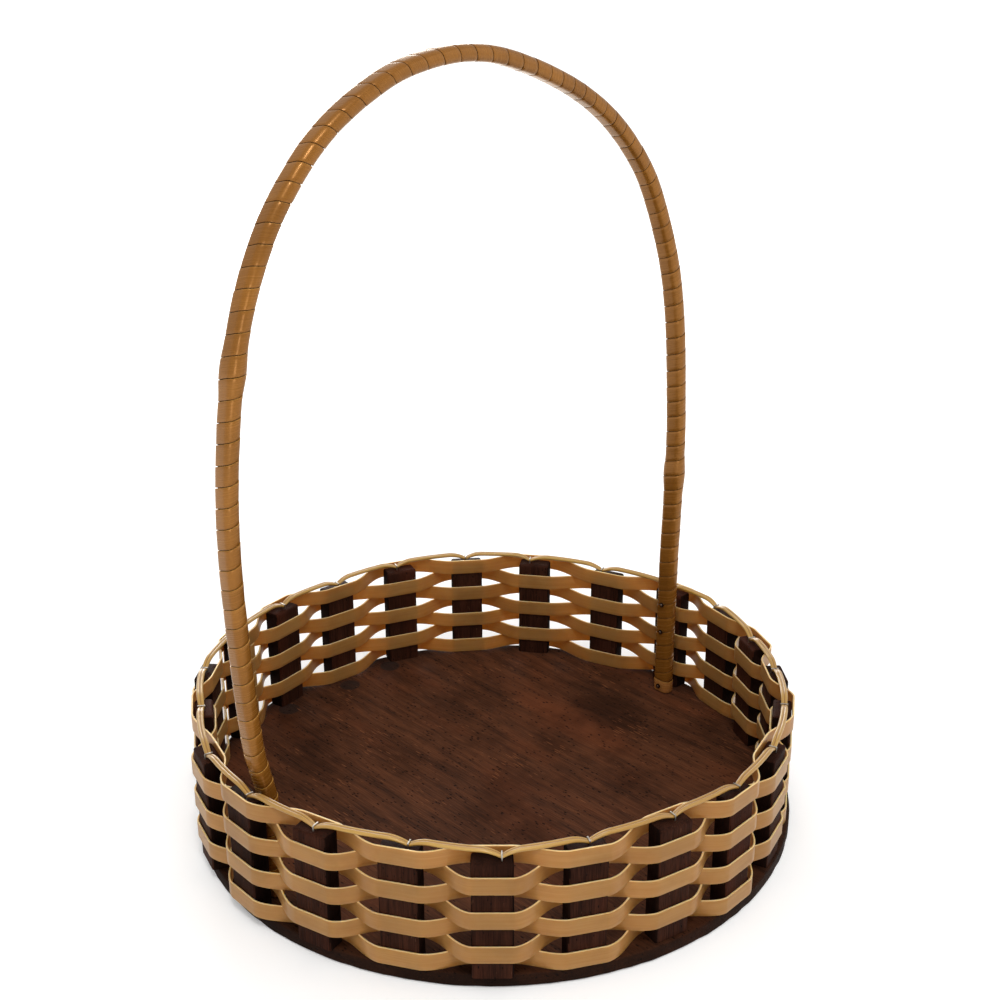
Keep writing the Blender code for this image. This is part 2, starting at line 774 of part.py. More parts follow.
def main():
    """Build every piece of the basket."""
    clear_scene()
    stained_wood = make_material("stained_wood", (0.060, 0.027, 0.017), 0.55)
    core_wood = make_material("core_wood", (0.30, 0.17, 0.08), 0.7)
    woven_strip = make_material("woven_strip", (0.40, 0.21, 0.07), 0.5)
    wound_strip = make_material("wound_strip", (0.36, 0.21, 0.06), 0.4)
    cane = make_material("cane", (0.62, 0.42, 0.15), 0.5)
    steel = make_material("steel", (0.45, 0.44, 0.42), 0.35, 1.0)

    path = HandlePath()
    strip_slots = build_strip_staples(steel)
    nail_holes = build_handle_nails(path, steel)

    add_cut(build_base(stained_wood), build_pin_holes())
    stakes = build_stakes(stained_wood, steel)
    add_cut(stakes[LAP_STAKE], strip_slots)
    for index in (PLUS_LEG_STAKE, MINUS_LEG_STAKE):
        add_cut(stakes[index], nail_holes)

    build_rows(woven_strip, strip_slots)
    build_rim(cane)

    add_cut(build_handle_core(path, core_wood), nail_holes)
    add_cut(build_handle_wrap(path, wound_strip), nail_holes)


main()
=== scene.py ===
"""Looks of the round serving basket: board, stakes, woven strips, rim cane and wound handle."""

import json
import logging
import math
from contextlib import contextmanager
from dataclasses import dataclass, field, replace
from enum import Enum
from typing import Callable, Iterator, Sequence, Union

import bmesh
import bpy
from mathutils import Matrix, Vector, noise

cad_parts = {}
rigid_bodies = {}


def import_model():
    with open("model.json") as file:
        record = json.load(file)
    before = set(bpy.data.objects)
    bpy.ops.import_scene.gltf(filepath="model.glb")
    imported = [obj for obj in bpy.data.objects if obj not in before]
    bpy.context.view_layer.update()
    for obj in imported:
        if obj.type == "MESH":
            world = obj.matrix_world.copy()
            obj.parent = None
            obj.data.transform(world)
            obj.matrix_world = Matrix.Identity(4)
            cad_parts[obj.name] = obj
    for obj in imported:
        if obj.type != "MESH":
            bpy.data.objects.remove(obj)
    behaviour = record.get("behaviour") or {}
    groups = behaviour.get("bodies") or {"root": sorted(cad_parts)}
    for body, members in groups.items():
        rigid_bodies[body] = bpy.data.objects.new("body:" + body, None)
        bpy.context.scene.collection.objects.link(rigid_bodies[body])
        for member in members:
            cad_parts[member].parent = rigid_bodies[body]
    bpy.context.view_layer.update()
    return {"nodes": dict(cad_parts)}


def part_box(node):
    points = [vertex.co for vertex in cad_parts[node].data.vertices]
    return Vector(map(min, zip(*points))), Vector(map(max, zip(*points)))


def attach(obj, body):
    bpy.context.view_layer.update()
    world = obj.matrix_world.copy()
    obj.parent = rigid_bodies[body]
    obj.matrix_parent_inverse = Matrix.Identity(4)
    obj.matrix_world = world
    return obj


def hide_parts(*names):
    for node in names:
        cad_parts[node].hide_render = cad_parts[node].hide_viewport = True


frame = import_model()

LOG = logging.getLogger("basket")
BODY = "root"
STRIP_UV = "run"
NOISE_SEED = 23
FACING = 0.9
SIDEWAYS = 0.7

Socket = bpy.types.NodeSocket
Value = Union[Socket, float]
Colour = tuple[float, float, float]


class Side(Enum):
    """Side of the wall on which a strip passes a stake."""

    OUTSIDE = 1
    INSIDE = -1


class Grain(Enum):
    """Turn that lays a pattern's Z along the fibres of a wooden piece."""

    UPRIGHT = (0.0, 0.0, 0.0)
    ACROSS_HANDLE = (math.pi / 2, 0.0, 0.0)


class Waves(Enum):
    """Waves to a metre of wood, twice across its fibres and once along them."""

    WANDER = (30.0, 30.0, 12.0)
    FIBRE = (1900.0, 1900.0, 60.0)
    STREAK = (230.0, 230.0, 18.0)
    BLOTCH = (22.0, 22.0, 9.0)
    PORE = (520.0, 520.0, 210.0)
    PORE_PATCH = (150.0, 150.0, 90.0)
    SCRATCH = (900.0, 900.0, 90.0)
    SCRATCH_PATCH = (70.0, 70.0, 40.0)


def from_srgb(red: int, green: int, blue: int) -> Colour:
    """Turn a colour as seen on a screen into the linear one that a shader takes.

    Args:
        red: Red, 0 to 255.
        green: Green, 0 to 255.
        blue: Blue, 0 to 255.

    Returns:
        The linear colour.
    """
    def linear(channel: int) -> float:
        """Linear share of one channel."""
        share = channel / 255
        return share / 12.92 if share <= 0.04045 else ((share + 0.055) / 1.055) ** 2.4

    return linear(red), linear(green), linear(blue)


def deeper(colour: Colour, share: float) -> Colour:
    """A colour brought down to a share of its light."""
    return tuple(part * share for part in colour)


# Node trees


class Graph:
    """Adds nodes to one tree and joins them."""

    def __init__(self, tree: bpy.types.NodeTree) -> None:
        """Take the tree that the nodes go into."""
        self.tree = tree

    def node(self, kind: str, **settings: object) -> bpy.types.Node:
        """Add a node.

        Args:
            kind: Blender's name of the node type, without its ShaderNode.
            settings: Properties of the node.

        Returns:
            The new node.
        """
        made = self.tree.nodes.new("ShaderNode" + kind)
        for name, value in settings.items():
            setattr(made, name, value)
        return made

    def feed(self, target: Socket, value: object) -> None:
        """Link a socket to an input, or set the input where the value is plain.

        Args:
            target: The input.
            value: A socket, a number, a vector or a colour.
        """
        if isinstance(value, bpy.types.NodeSocket):
            self.tree.links.new(value, target)
        else:
            target.default_value = (*value, 1.0) if target.type == "RGBA" else value

    def fill(self, node: bpy.types.Node, **values: object) -> bpy.types.Node:
        """Feed a node's inputs by name.

        Args:
            node: The node.
            values: What goes in, by the input's name with underscores for its spaces.

        Returns:
            The same node.
        """
        for name, value in values.items():
            self.feed(node.inputs[name.replace("_", " ")], value)
        return node

    def use(self, group: bpy.types.NodeTree, **values: object) -> bpy.types.Node:
        """Put in a node group with its own values."""
        return self.fill(self.node("Group", node_tree=group), **values)

    def math(self, operation: str, first: Value, second: Value = 0.0) -> Socket:
        """Add a Math node.

        Args:
            operation: What it works out.
            first: First value.
            second: Second value.

        Returns:
            The result.
        """
        made = self.node("Math", operation=operation)
        self.feed(made.inputs[0], first)
        self.feed(made.inputs[1], second)
        return made.outputs[0]

    def times(self, first: Value, second: Value) -> Socket:
        """Product of two values."""
        return self.math("MULTIPLY", first, second)

    def plus(self, first: Value, second: Value) -> Socket:
        """Sum of two values."""
        return self.math("ADD", first, second)

    def minus(self, first: Value, second: Value) -> Socket:
        """First value less the second."""
        return self.math("SUBTRACT", first, second)

    def vectors(self, operation: str, first: Socket, second: object) -> Socket:
        """Add a Vector Math node.

        Args:
            operation: What it works out.
            first: First vector.
            second: Second vector.

        Returns:
            The resulting vector.
        """
        made = self.node("VectorMath", operation=operation)
        self.feed(made.inputs[0], first)
        self.feed(made.inputs[1], second)
        return made.outputs[0]

    def length(self, vector: Socket) -> Socket:
        """Length of a vector."""
        return self.fill(self.node("VectorMath", operation="LENGTH"), Vector=vector).outputs["Value"]

    def turn(self, vector: Socket, angles: Sequence[float]) -> Socket:
        """Turn a place by Euler angles."""
        made = self.node("VectorRotate", rotation_type="EULER_XYZ")
        return self.fill(made, Vector=vector, Rotation=angles).outputs[0]

    def stretch(self, vector: Socket, waves: Waves) -> Socket:
        """Scale a place for a pattern of wood."""
        return self.vectors("MULTIPLY", vector, waves.value)

    def join(self, x: Value, y: Value, z: Value = 0.0) -> Socket:
        """Combine three values into a vector."""
        return self.fill(self.node("CombineXYZ"), X=x, Y=y, Z=z).outputs[0]

    def split(self, vector: Socket) -> Sequence[Socket]:
        """The three parts of a vector."""
        return self.fill(self.node("SeparateXYZ"), Vector=vector).outputs[:3]

    def place(self) -> Socket:
        """Place of a surface point, on the object's own axes."""
        return self.node("TexCoord").outputs["Object"]

    def strip_place(self) -> Sequence[Socket]:
        """Length along a strip and share across it, from its UV map."""
        return self.split(self.node("UVMap", uv_map=STRIP_UV).outputs[0])[:2]

    def off_middle(self, across: Socket) -> Socket:
        """Distance from a strip's middle line, as a share of its width."""
        return self.math("ABSOLUTE", self.minus(across, 0.5))

    def ramp(self, value: Value, low: float, high: float) -> Socket:
        """Smooth step from 0 at `low` to 1 at `high`."""
        made = self.node("MapRange", interpolation_type="SMOOTHSTEP")
        return self.fill(made, Value=value, From_Min=low, From_Max=high).outputs[0]

    def within(self, value: Value, limit: Value, low: float, high: float) -> Socket:
        """Mask of what lies below a limit, which falls from 1 to 0 between two distances past it."""
        return self.minus(1.0, self.ramp(self.minus(value, limit), low, high))

    def noise(self, vector: Socket, detail: float = 2.0, roughness: float = 0.5,
              scale: float = 1.0) -> Socket:
        """Noise value at a place."""
        made = self.node("TexNoise")
        return self.fill(made, Vector=vector, Scale=scale, Detail=detail, Roughness=roughness).outputs["Fac"]

    def cells(self, vector: Socket) -> Socket:
        """Distance to the nearest of scattered points."""
        return self.fill(self.node("TexVoronoi"), Vector=vector, Scale=1.0).outputs["Distance"]

    def mix(self, share: Value, first: object, second: object) -> Socket:
        """Mix two colours.

        Args:
            share: How much of the second colour, 0 to 1.
            first: First colour or socket.
            second: Second colour or socket.

        Returns:
            The mixed colour.
        """
        made = self.node("Mix", data_type="RGBA")
        for place, value in ((0, share), (6, first), (7, second)):
            self.feed(made.inputs[place], value)
        return made.outputs[2]

    def lay(self, over: object, lower_edge_shade: Socket, mask: Value, strength: float) -> Socket:
        """Lay a colour over another where a mask says, at a strength."""
        return self.mix(self.times(mask, strength), lower_edge_shade, over)

    def bump(self, height: Socket, depth: float, strength: float) -> Socket:
        """Normal from a height."""
        made = self.fill(self.node("Bump"), Height=height, Distance=depth, Strength=strength)
        return made.outputs["Normal"]


def new_group(name: str, inputs: Sequence[str],
              outputs: Sequence[str]) -> tuple[Graph, list[Socket], bpy.types.Node]:
    """Start a shader node group whose sockets are numbers, apart from one named Vector.

    Args:
        name: The group's name.
        inputs: Names of the inputs.
        outputs: Names of the outputs.

    Returns:
        A graph that fills the group, what comes in, and the node that puts out.
    """
    tree = bpy.data.node_groups.new(name, "ShaderNodeTree")
    for way, labels in (("INPUT", inputs), ("OUTPUT", outputs)):
        for label in labels:
            kind = "NodeSocketVector" if label == "Vector" else "NodeSocketFloat"
            tree.interface.new_socket(label, in_out=way, socket_type=kind)
    start, end = (tree.nodes.new("NodeGroup" + way) for way in ("Input", "Output"))
    return Graph(tree), [start.outputs[label] for label in inputs], end


def grain_group() -> bpy.types.NodeTree:
    """Build wood fibres along Z.

    Returns:
        The group: streaks, blotches, pores, light scratches and the surface's height.
    """
    graph, (place, pore_share, scratch_share), end = new_group(
        "wood_grain", ("Vector", "Pore Share", "Scratch Share"),
        ("Tone", "Blotch", "Pores", "Scratches", "Height"),
    )
    wander = graph.times(graph.minus(graph.noise(graph.stretch(place, Waves.WANDER)), 0.5), 0.006)
    bent = graph.vectors("ADD", place, graph.join(wander, wander))
    fine = graph.noise(graph.stretch(bent, Waves.FIBRE), detail=3.0, roughness=0.6)
    broad = graph.noise(graph.stretch(bent, Waves.STREAK), detail=4.0, roughness=0.65)
    tone = graph.plus(graph.times(fine, 0.5), graph.times(broad, 0.5))
    blotch = graph.noise(graph.stretch(place, Waves.BLOTCH), detail=3.0, roughness=0.6)
    patch = graph.noise(graph.stretch(place, Waves.PORE_PATCH), detail=1.0)
    spots = graph.cells(graph.stretch(bent, Waves.PORE))
    pores = graph.within(spots, graph.times(pore_share, patch), low=-0.02, high=0.06)
    worn = graph.ramp(graph.noise(graph.stretch(place, Waves.SCRATCH_PATCH)), low=0.4, high=0.8)
    lines = graph.cells(graph.stretch(bent, Waves.SCRATCH))
    scratches = graph.within(lines, graph.times(scratch_share, worn), low=-0.03, high=0.05)
    height = graph.minus(graph.minus(fine, graph.times(pores, 0.9)), graph.times(scratches, 0.3))
    graph.fill(end, Tone=tone, Blotch=blotch, Pores=pores, Scratches=scratches, Height=height)
    return graph.tree


def fibre_group() -> bpy.types.NodeTree:
    """Build the fibres of a flat split strip.

    Returns:
        The group: tone along the fibres, slow tone, a mask of the two edges, where the strips take a painted
            highlight and painted shade, and the surface's height.
    """
    graph, (along, across, seed, edge_width), end = new_group(
        "strip_fibre", ("Along", "Across", "Seed", "Edge Width"), ("Tone", "Slow", "Edge", "Height")
    )
    fibres = graph.join(graph.times(along, 45.0), graph.times(across, 42.0), seed)
    fine = graph.noise(fibres, detail=3.0, roughness=0.6)
    broad = graph.noise(graph.join(graph.times(along, 16.0), graph.times(across, 5.0), seed))
    tone = graph.plus(graph.times(fine, 0.6), graph.times(broad, 0.4))
    slow = graph.noise(graph.join(graph.times(along, 9.0), seed))
    ragged = graph.times(graph.minus(fine, 0.5), 0.05)
    away = graph.minus(graph.plus(graph.off_middle(across), ragged), graph.minus(0.5, edge_width))
    graph.fill(end, Tone=tone, Slow=slow, Edge=graph.ramp(away, low=-0.015, high=0.02), Height=fine)
    return graph.tree


def grime_group() -> bpy.types.NodeTree:
    """Build uneven grime and stain that lies on any piece.

    Returns:
        The group: a mask of the grime, and a finer unevenness.
    """
    graph, (place, size, amount), end = new_group("grime", ("Vector", "Size", "Amount"), ("Mask", "Fine"))
    scaled = graph.node("VectorMath", operation="SCALE")
    spot = graph.fill(scaled, Vector=place, Scale=graph.math("DIVIDE", 1.0, size)).outputs[0]
    cloud = graph.ramp(graph.noise(spot, detail=4.0, roughness=0.6), low=0.45, high=0.7)
    fine = graph.noise(spot, detail=3.0, roughness=0.6, scale=9.0)
    graph.fill(end, Mask=graph.times(cloud, amount), Fine=fine)
    return graph.tree


class Groups:
    """The node groups that several finishes share."""

    def __init__(self) -> None:
        """Build each group once."""
        self.grain = grain_group()
        self.fibre = fibre_group()
        self.grime = grime_group()


def open_material(name: str) -> tuple[bpy.types.Material, Graph, bpy.types.Node]:
    """Start a material.

    Args:
        name: Its name.

    Returns:
        The material, its graph and its Principled shader.
    """
    material = bpy.data.materials.new(name)
    material.use_nodes = True
    return material, Graph(material.node_tree), material.node_tree.nodes["Principled BSDF"]


# Finishes


@dataclass(frozen=True)
class StainedWood:
    """Open-grained wood under a dark brown stain."""

    name: str
    light: Colour
    dark: Colour
    red: Colour
    scratch: Colour
    grain: Grain
    pore: Colour = (0.004, 0.002, 0.0015)
    pore_share: float = 0.3
    scratch_share: float = 0.25
    roughness: float = 0.55
    gloss: float = 0.14
    relief: float = 0.00035
    grime_size: float = 0.06
    plugs: tuple[tuple[float, float], ...] = ()
    plug_radius: float = 0.0062
    plug_level: float = 0.0065
    plug_colour: Colour = from_srgb(38, 30, 27)
    edge_radius: float = 0.0
    # Painted shade along the wall's foot, and the darker sawn edge
    wall_shade_and_edge_colour: Colour = from_srgb(22, 14, 11)
    wall_shade_width: float = 0.012
    edge_blend: float = 0.0012

    def material(self, groups: Groups) -> bpy.types.Material:
        """Build the material.

        Args:
            groups: The shared node groups.

        Returns:
            The material.
        """
        material, graph, shader = open_material(self.name)
        place = graph.place()
        turned = graph.turn(place, self.grain.value)
        wood = graph.use(
            groups.grain, Vector=turned, Pore_Share=self.pore_share, Scratch_Share=self.scratch_share
        ).outputs
        grime = graph.use(groups.grime, Vector=turned, Size=self.grime_size, Amount=0.65).outputs["Mask"]
        colour = graph.mix(graph.ramp(wood["Tone"], low=0.3, high=0.7), self.dark, self.light)
        colour = graph.lay(self.red, colour, graph.ramp(wood["Blotch"], low=0.48, high=0.72), strength=0.6)
        colour = graph.mix(grime, colour, deeper(self.dark, 0.45))
        colour = self.plugged(graph, place, colour)
        colour = graph.lay(self.scratch, colour, wood["Scratches"], strength=0.55)
        colour = graph.lay(self.pore, colour, wood["Pores"], strength=0.85)
        # Painted shade along the wall
        colour = self.shade_along_wall(graph, place, colour)
        rough = graph.plus(graph.times(wood["Tone"], 0.25), graph.times(grime, 0.2))
        graph.fill(
            shader, Base_Color=colour, Roughness=graph.plus(rough, self.roughness - 0.12),
            Normal=graph.bump(wood["Height"], self.relief, strength=0.8), Specular_IOR_Level=self.gloss,
        )
        return material

    def plugged(self, graph: Graph, place: Socket, colour: Socket) -> Socket:
        """Add the round filled spots in the board's top.

        Args:
            graph: The material's graph.
            place: Place of the surface point.
            colour: Colour so far.

        Returns:
            The new colour.
        """
        for x, y in self.plugs:
            reach = graph.length(graph.vectors("SUBTRACT", place, (x, y, self.plug_level)))
            spot = graph.minus(1.0, graph.ramp(reach, self.plug_radius * 0.85, self.plug_radius))
            colour = graph.lay(self.plug_colour, colour, spot, strength=0.75)
        return colour

    def shade_along_wall(self, graph: Graph, place: Socket, colour: Socket) -> Socket:
        """Paint shade on the board along the wall, and darken its sawn edge more.

        Args:
            graph: The material's graph.
            place: Place of the surface point.
            colour: Colour so far.

        Returns:
            The new colour.
        """
        if not self.edge_radius:
            return colour
        reach = graph.length(graph.vectors("MULTIPLY", place, (1.0, 1.0, 0.0)))
        # Painted shade in a ring round the foot of the wall
        ring = graph.ramp(reach, self.edge_radius - self.wall_shade_width, self.edge_radius)
        edge = graph.ramp(reach, self.edge_radius, self.edge_radius + self.edge_blend)
        mask = graph.plus(graph.times(ring, 0.6), graph.times(edge, 0.3))
        return graph.mix(mask, colour, self.wall_shade_and_edge_colour)


@dataclass(frozen=True)
class SplitStrip:
    """Flat golden strip with fine lengthwise fibres, a painted highlight along one edge and painted shade
    along the other.
    """

    name: str
    light: Colour
    dark: Colour
    # The edge colour is a painted highlight along one edge of the strip; the next colour is painted shade
    # along the other
    edge: Colour
    lower_edge_shade: Colour
    tint: Colour = (1.0, 0.9, 0.66)
    seed: float = 0.0
    metallic: float = 0.1
    roughness: float = 0.4
    coat: float = 0.1
    glow: float = 0.0
    glow_radius: Colour = (1.0, 0.8, 0.5)
    glow_depth: float = 0.003
    gloss: float = 0.3
    edge_width: float = 0.015
    relief: float = 0.00003
    grime_size: float = 0.03
    turn_length: float = 0.0

    def material(self, groups: Groups) -> bpy.types.Material:
        """Build the material, which reads the strip's own UV map.

        Args:
            groups: The shared node groups.

        Returns:
            The material.
        """
        material, graph, shader = open_material(self.name)
        along, across = graph.strip_place()
        strip = graph.use(
            groups.fibre, Along=along, Across=across, Seed=self.seed, Edge_Width=self.edge_width
        ).outputs
        grime = graph.use(groups.grime, Vector=graph.place(), Size=self.grime_size, Amount=0.35).outputs
        colour = graph.mix(graph.ramp(strip["Tone"], low=0.2, high=0.8), self.dark, self.light)
        slow = graph.ramp(strip["Slow"], low=0.35, high=0.7)
        colour = graph.lay(deeper(self.dark, 0.72), colour, slow, strength=0.4)
        colour = graph.mix(grime["Mask"], colour, deeper(self.dark, 0.6))
        colour = self.turned(graph, along, colour)
        # Painted highlight along one edge, painted shade along the other
        edge_highlight_and_shade = graph.mix(graph.ramp(across, low=0.45, high=0.55), self.lower_edge_shade, self.edge)
        colour = graph.lay(edge_highlight_and_shade, colour, strip["Edge"], strength=0.8)
        graph.fill(
            shader, Base_Color=colour, Metallic=self.metallic, Specular_IOR_Level=self.gloss,
            Roughness=graph.plus(graph.times(strip["Tone"], 0.1), self.roughness - 0.05),
            Normal=graph.bump(strip["Height"], self.relief, strength=0.6), Specular_Tint=self.tint,
            Subsurface_Weight=self.glow, Subsurface_Radius=self.glow_radius,
            Subsurface_Scale=self.glow_depth, Coat_Weight=self.coat, Coat_Roughness=0.16,
        )
        return material

    def turned(self, graph: Graph, along: Socket, colour: Socket) -> Socket:
        """Give each turn of a winding its own tone.

        Args:
            graph: The material's graph.
            along: Length along the strip.
            colour: Colour so far.

        Returns:
            The new colour.
        """
        if not self.turn_length:
            return colour
        turn = graph.math("FLOOR", graph.plus(graph.math("DIVIDE", along, self.turn_length), 0.5))
        tone = graph.fill(graph.node("TexWhiteNoise", noise_dimensions="1D"), W=turn).outputs["Value"]
        return graph.lay(deeper(self.dark, 0.7), colour, tone, strength=0.35)


@dataclass(frozen=True)
class RimCane:
    """Pale ridged cane, with painted shade in dark gold along its groove."""

    name: str = "rim_cane_finish"
    ridge: Colour = from_srgb(194, 154, 76)
    # Dark gold: painted shade in the groove, and slow uneven tone of the cane
    groove: Colour = from_srgb(136, 90, 32)
    shade: Colour = from_srgb(162, 119, 48)
    roughness: float = 0.3
    relief: float = 0.00008
    seed: float = 4.0

    def material(self, groups: Groups) -> bpy.types.Material:
        """Build the material, which reads the cane's own UV map.

        Args:
            groups: The shared node groups.

        Returns:
            The material.
        """
        material, graph, shader = open_material(self.name)
        along, across = graph.strip_place()
        strip = graph.use(groups.fibre, Along=along, Across=across, Seed=self.seed).outputs
        # Painted shade along the groove on top, and along the middle of the underside
        groove = graph.minus(1.0, graph.ramp(graph.off_middle(across), low=0.02, high=0.12))
        colour = graph.mix(graph.ramp(strip["Tone"], low=0.3, high=0.7), self.shade, self.ridge)
        colour = graph.lay(self.groove, colour, groove, strength=0.85)
        colour = graph.lay(self.groove, colour, graph.ramp(strip["Slow"], low=0.4, high=0.7), strength=0.35)
        graph.fill(
            shader, Base_Color=colour, Normal=graph.bump(strip["Height"], self.relief, strength=0.6),
            Roughness=self.roughness, Coat_Weight=0.12, Coat_Roughness=0.2,
        )
        return material


@dataclass(frozen=True)
class Steel:
    """Drawn steel wire with dull spots."""

    name: str
    colour: Colour
    tarnish: Colour
    roughness: float = 0.32
    relief: float = 0.00004
    spot_size: float = 0.0018

    def material(self, groups: Groups) -> bpy.types.Material:
        """Build the material.

        Args:
            groups: The shared node groups.

        Returns:
            The material.
        """
        material, graph, shader = open_material(self.name)
        grime = graph.use(groups.grime, Vector=graph.place(), Size=self.spot_size, Amount=0.8).outputs
        graph.fill(
            shader, Base_Color=graph.mix(grime["Mask"], self.colour, self.tarnish), Metallic=1.0,
            Roughness=graph.plus(graph.times(grime["Fine"], 0.25), self.roughness - 0.1),
            Normal=graph.bump(grime["Fine"], self.relief, strength=0.5),
        )
        return material


# Modelling helpers


def deselect() -> None:
    """Deselect every object."""
    for obj in bpy.context.view_layer.objects:
        obj.select_set(False)


def activate(obj: bpy.types.Object) -> None:
    """Make an object the only selected and active one.

    Args:
        obj: The object.
    """
    deselect()
    obj.select_set(True)
    bpy.context.view_layer.objects.active = obj


@contextmanager
def editing(obj: bpy.types.Object) -> Iterator[None]:
    """Hold an object open in edit mode, at first with all of it selected.

    Args:
        obj: The object.

    Returns:
        A context for the operators.
    """
    activate(obj)
    bpy.ops.object.mode_set(mode="EDIT")
    bpy.ops.mesh.select_all(action="SELECT")
    yield
    bpy.ops.object.mode_set(mode="OBJECT")


def named(name: str) -> bpy.types.Object:
    """Name the primitive just added, and its mesh.

    Args:
        name: The name.

    Returns:
        The object.
    """
    obj = bpy.context.object
    obj.name = name
    obj.data.name = name
    return obj


def add_block(name: str, size: Sequence[float], centre: Sequence[float]) -> bpy.types.Object:
    """Add a box of a given size, with its place in its mesh.

    Args:
        name: Name of the object.
        size: Size along X, Y and Z.
        centre: Its middle.

    Returns:
        The box.
    """
    deselect()
    bpy.ops.mesh.primitive_cube_add(size=1.0)
    obj = named(name)
    with editing(obj):
        bpy.ops.transform.resize(value=tuple(size))
        bpy.ops.transform.translate(value=tuple(centre))
    return obj


def pick(obj: bpy.types.Object, kind: str, test: Callable[[object], bool]) -> None:
    """Select the faces or edges of the edited mesh that pass a test.

    Args:
        obj: The object in edit mode.
        kind: "faces" or "edges".
        test: Says whether an element is selected.
    """
    bpy.ops.mesh.select_all(action="DESELECT")
    bpy.ops.mesh.select_mode(type={"faces": "FACE", "edges": "EDGE"}[kind])
    mesh = bmesh.from_edit_mesh(obj.data)
    for element in getattr(mesh, kind):
        element.select_set(test(element))
    mesh.select_flush_mode()
    bmesh.update_edit_mesh(obj.data)


def extrude(x: float, z: float) -> None:
    """Extrude the selected faces along X and Z."""
    bpy.ops.mesh.extrude_region_move(TRANSFORM_OT_translate={"value": (x, 0.0, z)})


def cut_level(height: float, **settings: bool) -> None:
    """Cut the whole edited mesh level at a height."""
    bpy.ops.mesh.select_all(action="SELECT")
    bpy.ops.mesh.bisect(plane_co=(0.0, 0.0, height), plane_no=(0.0, 0.0, 1.0), **settings)


def apply_modifier(obj: bpy.types.Object, kind: str, **settings: object) -> None:
    """Add a modifier and apply it.

    Args:
        obj: The object.
        kind: Blender's name of the modifier type.
        settings: Its settings.
    """
    activate(obj)
    made = obj.modifiers.new(kind.lower(), kind)
    for name, value in settings.items():
        setattr(made, name, value)
    bpy.ops.object.modifier_apply(modifier=made.name)


def ease_edges(obj: bpy.types.Object, width: float, segments: int = 2, degrees: float = 30.0) -> None:
    """Round the edges that are sharper than an angle."""
    limit = math.radians(degrees)
    apply_modifier(obj, "BEVEL", width=width, segments=segments, limit_method="ANGLE", angle_limit=limit)


def smooth(obj: bpy.types.Object, degrees: float = 35.0) -> None:
    """Shade smooth, with sharp edges past the given angle."""
    activate(obj)
    bpy.ops.object.shade_smooth_by_angle(angle=math.radians(degrees))


def outward_faces(obj: bpy.types.Object) -> None:
    """Merge doubles and turn the faces outwards.

    Args:
        obj: The object.
    """
    with editing(obj):
        bpy.ops.mesh.remove_doubles(threshold=1e-6)
        bpy.ops.mesh.normals_make_consistent(inside=False)


def dress(obj: bpy.types.Object, *materials: bpy.types.Material) -> None:
    """Give an object its materials.

    Args:
        obj: The object.
        materials: Its materials, in the order of their slots.
    """
    obj.data.materials.clear()
    for material in materials:
        obj.data.materials.append(material)


def settle(obj: bpy.types.Object, slot: str, *nodes: str) -> None:
    """Let a piece ride on the basket, and stand for CAD nodes.

    Args:
        obj: The finished piece.
        slot: The record's material slot; not used.
        nodes: CAD nodes that the piece replaces.
    """
    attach(obj, BODY)
    if nodes:
        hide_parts(*nodes)
    LOG.info("piece %s: %d faces", obj.name, len(obj.data.polygons))


def copy_piece(source: bpy.types.Object, name: str, place: Matrix) -> bpy.types.Object:
    """Copy a piece with its own mesh.

    Args:
        source: The piece to copy.
        name: Name of the copy.
        place: Where it goes.

    Returns:
        The copy.
    """
    made = source.copy()
    made.data = source.data.copy()
    made.name = name
    made.data.name = name
    made.data.transform(place)
    bpy.context.collection.objects.link(made)
    return made


def roughen(obj: bpy.types.Object, depth: float, waves: Sequence[float], seed: float) -> None:
    """Move the vertices a little by noise, as hand tools leave a surface.

    Args:
        obj: The object.
        depth: Furthest move.
        waves: Waves to a metre along each axis.
        seed: Offset of the noise.
    """
    offset = Vector((seed, seed * 1.7, seed * 2.3))
    for vert in obj.data.vertices:
        at = Vector(c * s for c, s in zip(vert.co, waves)) + offset
        vert.co += noise.noise_vector(at) * depth


# The basket's plan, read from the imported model


@dataclass(frozen=True)
class StakePlace:
    """Where one stake stands, and where the rim cane crosses it."""

    angle: float
    radius: float
    head: Vector

    def frame(self, outward: float = 0.0, along: float = 0.0, height: float = 0.0) -> Matrix:
        """Matrix with X outward and Y along the wall, at an offset from the stake's foot."""
        turn = Matrix.Rotation(self.angle, 4, "Z")
        return turn @ Matrix.Translation((self.radius + outward, along, height))

    def spot(self, outward: float, along: float) -> Vector:
        """Plan point at an offset from the stake's middle."""
        return self.frame(outward, along) @ Vector()


@dataclass
class Plan:
    """Places of the wall's stakes, taken from the CAD nodes."""

    count: int = 23
    lap: int = 7
    rows: int = 7
    crown: float = 0.0002
    stakes: list[StakePlace] = field(default_factory=list)

    def __post_init__(self) -> None:
        """Read each stake's place, and the middle of the staple on its top."""
        for number in range(1, self.count + 1):
            name = f"stake_{number:02d}"
            low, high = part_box(name)
            middle = (low + high) / 2
            top = [v.co for v in frame["nodes"][name].data.vertices if v.co.z > high.z - self.crown]
            head = sum(top, Vector()) / len(top)
            self.stakes.append(StakePlace(math.atan2(middle.y, middle.x), middle.xy.length, head))

    def at(self, index: int) -> StakePlace:
        """A stake's place for any whole index."""
        return self.stakes[index % self.count]

    def side(self, row: int, step: int) -> Side:
        """Side on which a row passes the stake `step` past the lap."""
        return Side.OUTSIDE if (row + step) % 2 == 1 else Side.INSIDE

    def heads(self) -> list[tuple[float, float]]:
        """Follow the rim staples from the lap stake once round to it.

        Returns:
            Growing angle and radius of each staple.
        """
        found: list[tuple[float, float]] = []
        for step in range(self.count + 1):
            head = self.at(self.lap + step).head
            angle = math.atan2(head.y, head.x)
            while found and angle < found[-1][0]:
                angle += 2 * math.pi
            found.append((angle, head.xy.length))
        return found


